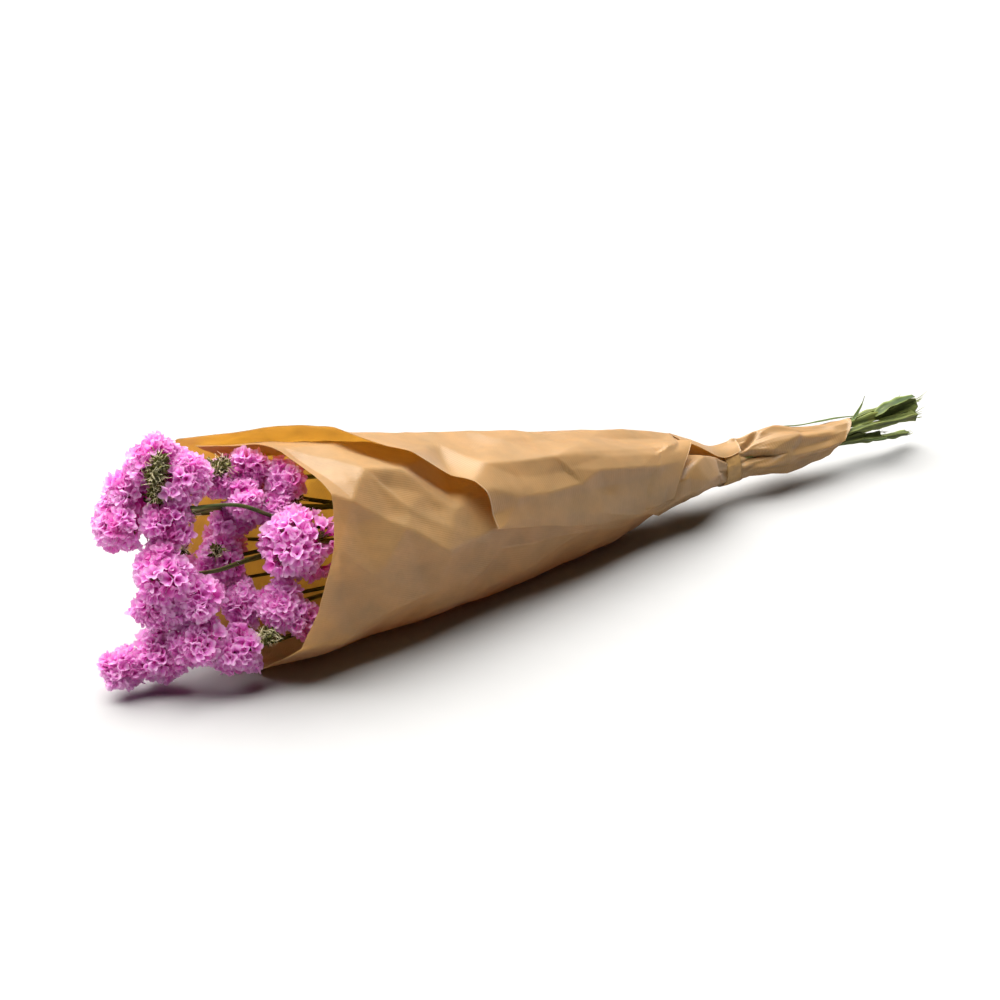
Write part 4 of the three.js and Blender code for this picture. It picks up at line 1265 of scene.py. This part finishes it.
def build_leaves(settings):
    """Thin blades with a folded middle vein and waved edges."""
    noise = Noise(SEED + 3)
    material = dried_green("Dried leaf", settings.leaf_green, settings.wing_green, 420)
    across = np.linspace(-1, 1, LEAF_ACROSS)
    for order, (node, (width, taper, line)) in enumerate(LEAVES.items()):
        length = sum(math.dist(a, b) for a, b in zip(line, line[1:]))
        centres, forward = curve_through(line, length / LEAF_STEPS)
        up, side = frames_along(forward, np.array([0, 0, 1.0]))
        t = np.linspace(0, 1, len(centres))
        swell = np.sin(np.pi * (LEAF_SWELL[0] + (LEAF_SWELL[1] - LEAF_SWELL[0]) * t))
        half = width / 2 * (LEAF_NARROWEST + (1 - LEAF_NARROWEST) * swell) * (1 - taper * t)
        wave = noise(t[:, None] * 6 + order * 9, across * 1.2)
        lift = LEAF_LIFT * half[:, None] * (LEAF_FOLD * across ** 2 + LEAF_WAVE * across ** 2 * wave)
        vein = LEAF_VEIN[0] * np.exp(-(across / LEAF_VEIN[1]) ** 2)
        blade = centres[:, None] + side[:, None] * (across * half[:, None])[..., None]
        skins = [
            blade + up[:, None] * (lift + vein * s + s * LEAF_THICKNESS / 2)[..., None]
            for s in (-1, 1)
        ]
        rings = np.concatenate([skins[0], skins[1][:, ::-1]], axis=1)
        marks = np.abs(np.concatenate([across, across[::-1]]))[None, :, None] ** 4 * RED_MARK
        marks = np.broadcast_to(marks, (*rings.shape[:2], 4))
        parts = MeshParts()
        add_tube(parts, rings, marks=marks)
        piece = parts.build(f"dried_{node}", [material], marked=True)
        finish_piece(piece, "leaf", node)


# ---- Flower heads -----------------------------------------------------------------------------------

def spiral_directions(count, phase):
    """Even directions over a sphere."""
    i = np.arange(count)
    z = 1 - 2 * (i + 0.5) / count
    angle = i * np.pi * (3 - math.sqrt(5)) + phase
    r = np.sqrt(1 - z * z)
    return np.stack([r * np.cos(angle), r * np.sin(angle), z], axis=-1)


def room_in_paper(points):
    """How far points lie inside the paper, and whether they are past its mouth edge."""
    x, y, z = points.T
    axis_y, axis_z = along(WRAP, x, 1), along(WRAP, x, 2)
    angle = np.degrees(np.arctan2(z - axis_z, axis_y - y))
    turn = (START_ANGLE - FIRST_TURN - angle) % 360 + FIRST_TURN
    room = along(WRAP, x, 3) - inset(turn, x) - SOLID_THICKNESS - np.hypot(y - axis_y, z - axis_z)
    return room, x > sheet_edge(turn)


def stalk_way(lump, lumps):
    """Direction from a lump back towards the stem that carries it."""
    centre = np.array(lump[:3], dtype=float)
    if lump is lumps[0]:
        return unit(np.array([120.0, 0, 60]) - centre)
    return unit(np.array(lumps[0][:3]) - centre)


def plant_tufts(rng):
    """Middles, sizes and lumps of every head's tufts, by head."""
    tufts = {}
    for name, lumps in HEADS.items():
        rows = []
        for order, lump in enumerate(lumps):
            centre, radius = np.array(lump[:3], dtype=float), lump[3]
            count = int(round(4 * np.pi * radius ** 2 / TUFT_ROOM))
            way = spiral_directions(count, rng.uniform(0, 6))
            way = unit(way + rng.normal(0, 0.16, way.shape))
            way[:, 2] = np.where(way[:, 2] < 0, way[:, 2] * LOWER_FLATTENING, way[:, 2])
            middle = centre + way * (radius * rng.uniform(*TUFT_MIDDLE, count))[:, None]
            size = radius * rng.uniform(*TUFT_SIZE, count)
            rows.append(np.column_stack([middle, size, np.full(count, order), np.zeros(count)]))
        tufts[name] = np.vstack(rows)
    return tufts


def plant_calyces(name, tufts, width, length, rng):
    """Feet, mouths and radii of a head's calyces."""
    lumps = HEADS[name]
    every = np.vstack([rows[:, :4] for rows in tufts.values()])
    feet, mouths, radii = [], [], []
    for row in tufts[name]:
        lump = lumps[int(row[4])]
        middle, size = row[:3], row[3]
        outward = unit(middle - np.array(lump[:3]))
        way = spiral_directions(TUFT_CALYCES * 2, rng.uniform(0, 6))
        way = unit(way + rng.normal(0, 0.12, way.shape))
        way = way[way @ outward > TUFT_FAN]
        count = len(way)
        mouth = middle + way * (size * rng.uniform(0.9, 1.12, count))[:, None]
        radius = width / 2 * rng.uniform(*CALYX_SIZE_RANGE, count)
        lean = unit(way + 0.5 * outward + rng.normal(0, CALYX_TILT, way.shape) + np.array(UPWARD_LEAN))
        foot = mouth - lean * (length * rng.uniform(0.85, 1.1, count))[:, None]
        keep = unit(mouth - np.array(lump[:3])) @ stalk_way(lump, lumps) < STALK_SIDE_COSINE
        keep &= mouth[:, 2] > radius + FLOOR_ROOM - 2.2
        for other in every:
            if not np.array_equal(other[:3], middle):
                keep &= np.linalg.norm(mouth - other[:3], axis=1) > other[3] * CLEAR_OF_TUFTS
        for place in OPEN_PLACES.get(name, ()):
            keep &= np.linalg.norm(mouth - np.array(place[:3]), axis=1) > place[3]
        room, covered = room_in_paper(mouth + np.array([1.0, 0, 0]) * radius[:, None])
        keep &= ~covered | (room > PAPER_ROOM + radius * 0.7)
        feet.append(foot[keep])
        mouths.append(mouth[keep])
        radii.append(radius[keep])
    return np.vstack(feet), np.vstack(mouths), np.concatenate(radii)


def add_calyces(parts, feet, mouths, radii, rng):
    """Papery funnels with five ruffled lobes."""
    count = len(feet)
    way = unit(mouths - feet)
    length = np.linalg.norm(mouths - feet, axis=1)
    side = unit(np.cross(np.array([0.31, 0.17, 0.93]), way))
    up = np.cross(way, side)
    theta = np.arange(CALYX_SECTORS) / CALYX_SECTORS * 2 * np.pi
    heights = np.array([h for h, _ in FUNNEL])[None, :, None]
    shares = np.array([r for _, r in FUNNEL])[None, :, None]
    rimness = np.clip((shares - 0.3) / 0.7, 0, 1) ** 1.5
    spin = rng.uniform(0, 2 * np.pi, count)[:, None, None]
    phase = rng.uniform(0, 2 * np.pi, (3, count))[:, :, None, None]
    bulge = np.abs(np.sin(LOBES * theta / 2))[None, None, :]
    lobes = (count, LOBES)
    sectors = CALYX_SECTORS // LOBES
    bend = np.repeat(rng.normal(0, LOBE_BEND, lobes), sectors, axis=1)[:, None] * bulge
    spread = np.repeat(rng.normal(0, LOBE_BEND, lobes), sectors, axis=1)[:, None] * bulge
    ruffle = np.sin(2 * theta + phase[0]) + 0.8 * np.sin(7 * theta + phase[1])
    radius = radii[:, None, None] * shares
    radius = radius * (1 + rimness * (NOTCH_DEPTH * (bulge - 0.8) + 0.5 * RUFFLE * ruffle + spread))
    lift = radii[:, None, None] * rimness * (0.2 * bulge + RUFFLE * np.sin(3 * theta + phase[2]) + bend)
    lift = lift + radii[:, None, None] * rimness * rng.normal(0, 0.07, (count, 1, CALYX_SECTORS))
    turn = theta[None, None, :] + spin
    out = side[:, None, None] * np.cos(turn)[..., None] + up[:, None, None] * np.sin(turn)[..., None]
    rise = (length[:, None, None] * heights + lift)[..., None]
    points = feet[:, None, None] + out * radius[..., None] + way[:, None, None] * rise
    points[..., 2] = np.maximum(points[..., 2], FLOOR_ROOM)
    tint = np.broadcast_to(rng.uniform(0, 1, count)[:, None, None], radius.shape)
    marks = np.stack([
        np.broadcast_to(heights / FUNNEL[-1][0], radius.shape), tint,
        np.broadcast_to(1 - bulge, radius.shape), np.ones(radius.shape),
    ], axis=-1)
    rings = len(FUNNEL)
    one = grid_faces(rings, CALYX_SECTORS, closed=True)
    step = rings * CALYX_SECTORS
    faces = (one[None] + (np.arange(count) * step)[:, None, None]).reshape(-1, 4)
    parts.add(points, faces, marks=marks)


def add_pedicels(parts, starts, ends, radius, material):
    """Thin three-sided stalks between pairs of points."""
    way = unit(ends - starts)
    side = unit(np.cross(np.array([0.2, 0.9, 0.4]), way))
    up = np.cross(way, side)
    turn = np.arange(3) / 3 * 2 * np.pi
    spokes = side[:, None] * np.cos(turn)[:, None] + up[:, None] * np.sin(turn)[:, None]
    rings = np.stack([starts[:, None] + spokes * radius * 1.4, ends[:, None] + spokes * radius], axis=1)
    rings[..., 2] = np.maximum(rings[..., 2], FLOOR_ROOM)
    one = grid_faces(2, 3, closed=True)
    faces = (one[None] + (np.arange(len(starts)) * 6)[:, None, None]).reshape(-1, 4)
    parts.add(rings, faces, material)


BRACT_LENGTH = (2.5, 4.8)
BRACT_GREEN = from_srgb(108, 110, 54)
BRACT_EDGE = from_srgb(172, 166, 100)
TUFT_BRACTS = 1.1                # green bracts in an open place, for each mm2 of its disc
THREADS = 0.5                    # pale threads in an open place, for each mm2 of its disc
THREAD_LENGTH = (4, 9)
OPEN_PLACE_DEPTH = 0.45          # the bracts lie this share of the radius deeper


def add_threads(parts, centre, radius, rng, material):
    """Pale thin threads that stand out of an open place."""
    for _ in range(int(THREADS * math.pi * radius ** 2)):
        way = unit(rng.normal(0, 1, 3) + np.array([-0.5, -0.9, 0.5]))
        foot = centre + rng.normal(0, 0.25, 3) * radius
        tip = foot + way * rng.uniform(*THREAD_LENGTH)
        middle = (foot + tip) / 2 + rng.normal(0, 0.9, 3)
        centres, forward = curve_through([foot, middle, tip], 1.6)
        centres[:, 2] = np.maximum(centres[:, 2], FLOOR_ROOM + 0.3)
        radii = np.linspace(0.3, 0.12, len(centres))
        marks = np.tile((1.0, 1.0, 0, 1), (len(centres) * 4, 1))
        add_tube(parts, round_rings(centres, forward, radii, 4), material, marks)


def add_bracts(parts, feet, way, rng, material):
    """Small folded scales round the feet of the calyces."""
    count = len(feet)
    out = unit(way + rng.normal(0, 0.5, way.shape))
    side = unit(np.cross(out, rng.normal(0, 1, way.shape)))
    fold = np.cross(out, side)
    length = rng.uniform(*BRACT_LENGTH, count)[:, None]
    middle = feet + out * length * 0.45
    points = np.stack([
        feet, middle + side * length * 0.26 + fold * length * 0.1, feet + out * length,
        middle - side * length * 0.26 + fold * length * 0.1, middle - fold * length * 0.06,
    ], axis=1)
    points[..., 2] = np.maximum(points[..., 2], FLOOR_ROOM)
    one = np.array([[0, 1, 4], [1, 2, 4], [2, 3, 4], [3, 0, 4]])
    faces = (one[None] + (np.arange(count) * 5)[:, None, None]).reshape(-1, 3)
    marks = np.zeros((count, 5, 4))
    marks[..., 0] = rng.uniform(0, 1, (count, 1)) ** 2
    parts.add(points, faces, material, marks)


def add_open_place(parts, place, lump, rng, material):
    """Bracts and threads where no calyx covers a head."""
    centre, radius = np.array(place[:3], dtype=float), place[3]
    count = int(TUFT_BRACTS * math.pi * radius ** 2)
    inward = np.array(lump[:3]) - centre
    centre = centre + unit(inward) * OPEN_PLACE_DEPTH * radius
    way = unit(rng.normal(0, 1, (count, 3)))
    feet = centre + way * (radius * rng.uniform(0.15, 0.75, count))[:, None]
    add_bracts(parts, feet, way + np.array([-0.4, -0.7, 0.3]), rng, material)
    add_threads(parts, centre, radius, rng, material)


CORE_RINGS = 14
CORE_SECTORS = 20


def add_core(parts, lump, noise, material):
    """The rough middle of a lump, which closes the gaps between its calyces."""
    centre, radius = np.array(lump[:3], dtype=float), lump[3]
    polar = np.linspace(0.02, np.pi - 0.02, CORE_RINGS)[:, None]
    turn = np.arange(CORE_SECTORS) / CORE_SECTORS * 2 * np.pi
    way = np.stack(np.broadcast_arrays(
        np.sin(polar) * np.cos(turn), np.sin(polar) * np.sin(turn), np.cos(polar),
    ), axis=-1)
    rough = noise(*np.moveaxis(way * 3.1 + centre / 9, -1, 0))
    points = centre + way * (radius * CORE_SHARE * (1 + 0.25 * rough))[..., None]
    points[..., 2] = np.maximum(points[..., 2], FLOOR_ROOM)
    add_tube(parts, points[:, ::-1], material)


def build_heads(settings, stem_settings):
    """Every head: calyces, their stalks and bracts, and the links between lumps."""
    rng = np.random.default_rng(SEED + 4)
    noise = Noise(SEED + 4)
    calyx = papery_calyx(settings)
    core = head_core(settings, stem_settings)
    green = dried_green("Green bract", BRACT_GREEN, BRACT_EDGE, 900)
    width, length = settings.width / METRES, settings.length / METRES
    tufts = plant_tufts(rng)
    for node, lumps in HEADS.items():
        parts = MeshParts()
        feet, mouths, radii = plant_calyces(node, tufts, width, length, rng)
        add_calyces(parts, feet, mouths, radii, rng)
        centres = np.array([lump[:3] for lump in lumps], dtype=float)
        owner = np.argmin(np.linalg.norm(feet[:, None] - centres, axis=-1), axis=1)
        add_pedicels(parts, centres[owner], feet, PEDICEL_RADIUS, 2)
        add_bracts(parts, feet, unit(mouths - feet), rng, 2)
        for place in OPEN_PLACES.get(node, ()):
            lump = min(lumps, key=lambda lump: math.dist(lump[:3], place[:3]) - lump[3])
            add_open_place(parts, place, lump, rng, 2)
        for order, lump in enumerate(lumps):
            add_core(parts, lump, noise, 1)
            if order:
                middle = (np.array(lumps[0][:3]) + lump[:3]) / 2 + rng.normal(0, 1, 3)
                line = [lumps[0][:3], middle, lump[:3]]
                centres, forward = curve_through(line, BRANCH_STEP)
                add_tube(parts, round_rings(centres, forward, LINK_RADIUS, 6), 2)
        piece = parts.build(f"flowers_{node}", [calyx, core, green], marked=True)
        finish_piece(piece, "calyx", node)


# ---- The stage ------------------------------------------------------------------------------------------

VIEW_AZIMUTH = -37
VIEW_ELEVATION = 24
VIEW_DISTANCE = 1395
VIEW_TARGET = (57, 0, 52)
SENSOR_WIDTH = 36
VIEW_LENS = 78.3
FLOOR_SIZE = 60000
# Way to the key light, by the view's right, away from the viewer, and up
KEY_WAY = (-0.28, 0.3, 1.0)


def view_ways(azimuth, elevation):
    """The view's right, its level way away from the viewer, and its way back to the viewer."""
    a, e = math.radians(azimuth), math.radians(elevation)
    right = Vector((math.cos(a), math.sin(a), 0))
    away = Vector((-math.sin(a), math.cos(a), 0))
    back = Vector((math.sin(a) * math.cos(e), -math.cos(a) * math.cos(e), math.sin(e)))
    return right, away, back


def build_stage(settings):
    """Floor, even fill light, one soft key light and the camera."""
    scene = bpy.context.scene
    right, away, back = view_ways(VIEW_AZIMUTH, VIEW_ELEVATION)
    half = FLOOR_SIZE / 2
    parts = MeshParts()
    parts.add([(-half, -half, 0), (half, -half, 0), (half, half, 0), (-half, half, 0)], [[0, 1, 2, 3]])
    floor = parts.build("studio_floor", [pale_floor()])

    world = bpy.data.worlds.new("Studio")
    world.use_nodes = True
    background = world.node_tree.nodes["Background"]
    background.inputs["Color"].default_value = (1, 1, 1, 1)
    background.inputs["Strength"].default_value = settings.fill_strength
    scene.world = world

    key = bpy.data.lights.new("Key light", "SUN")
    key.energy = settings.key_strength
    key.angle = settings.key_softness
    key.color = (1, 0.985, 0.96)
    key_object = bpy.data.objects.new("Key light", key)
    way = KEY_WAY[0] * right + KEY_WAY[1] * away + Vector((0, 0, KEY_WAY[2]))
    key_object.rotation_euler = way.to_track_quat("Z", "Y").to_euler()
    scene.collection.objects.link(key_object)

    camera = bpy.data.cameras.new("View")
    camera.sensor_width = SENSOR_WIDTH
    camera.lens = VIEW_LENS
    camera.clip_end = 200
    camera_object = bpy.data.objects.new("View", camera)
    camera_object.location = (Vector(VIEW_TARGET) + back * VIEW_DISTANCE) * METRES
    camera_object.rotation_euler = back.to_track_quat("Z", "Y").to_euler()
    scene.collection.objects.link(camera_object)
    scene.camera = camera_object
    scene.view_settings.view_transform = "Standard"


# ---- Operators -----------------------------------------------------------------

class STATICE_OT_stage(Operator):
    """Set up the floor, the lights and the camera"""
    bl_idname = "statice.stage"
    bl_label = "Set up the stage"

    def execute(self, context):
        build_stage(context.scene.statice_stage)
        return {"FINISHED"}


class STATICE_OT_paper(Operator):
    """Roll the ribbed paper sheet round the stems"""
    bl_idname = "statice.paper"
    bl_label = "Make the paper wrap"

    def execute(self, context):
        build_paper(context.scene.statice_paper)
        return {"FINISHED"}


class STATICE_OT_tie(Operator):
    """Put the tie band round the neck of the wrap"""
    bl_idname = "statice.tie"
    bl_label = "Make the tie"

    def execute(self, context):
        build_tie(context.scene.statice_paper)
        return {"FINISHED"}


class STATICE_OT_stems(Operator):
    """Grow the winged stems and their side branches"""
    bl_idname = "statice.stems"
    bl_label = "Make the stems"

    def execute(self, context):
        build_stems(context.scene.statice_stems)
        return {"FINISHED"}


class STATICE_OT_leaves(Operator):
    """Lay the dried leaves along the cut ends of the stems"""
    bl_idname = "statice.leaves"
    bl_label = "Make the leaves"

    def execute(self, context):
        build_leaves(context.scene.statice_stems)
        return {"FINISHED"}


class STATICE_OT_heads(Operator):
    """Plant the papery calyces on every flower head"""
    bl_idname = "statice.heads"
    bl_label = "Make the flower heads"

    def execute(self, context):
        build_heads(context.scene.statice_calyx, context.scene.statice_stems)
        return {"FINISHED"}


class STATICE_PT_bunch(Panel):
    """Lists the steps that make the bunch, with the settings of each"""
    bl_idname = "STATICE_PT_bunch"
    bl_label = "Dried statice bunch"
    bl_space_type = "VIEW_3D"
    bl_region_type = "UI"
    bl_category = "Statice"

    def draw(self, context):
        for operators, settings_name in STEPS:
            box = self.layout.box()
            for operator in operators:
                box.operator(operator.bl_idname)
            settings = getattr(context.scene, settings_name)
            for name in settings.__annotations__:
                box.prop(settings, name)


STEPS = [
    ((STATICE_OT_stage,), "statice_stage"),
    ((STATICE_OT_paper, STATICE_OT_tie), "statice_paper"),
    ((STATICE_OT_stems, STATICE_OT_leaves), "statice_stems"),
    ((STATICE_OT_heads,), "statice_calyx"),
]
SETTINGS = {
    "statice_stage": StageSettings,
    "statice_paper": PaperSettings,
    "statice_stems": StemSettings,
    "statice_calyx": CalyxSettings,
}
CLASSES = [
    *SETTINGS.values(), *(operator for operators, _ in STEPS for operator in operators), STATICE_PT_bunch,
]


def register():
    for item in CLASSES:
        bpy.utils.register_class(item)
    for name, group in SETTINGS.items():
        setattr(bpy.types.Scene, name, PointerProperty(type=group))


def unregister():
    for name in SETTINGS:
        delattr(bpy.types.Scene, name)
    for item in reversed(CLASSES):
        bpy.utils.unregister_class(item)


def main():
    register()
    bpy.ops.statice.stage()
    bpy.ops.statice.paper()
    bpy.ops.statice.tie()
    bpy.ops.statice.stems()
    bpy.ops.statice.leaves()
    bpy.ops.statice.heads()


if __name__ == "__main__":
    main()
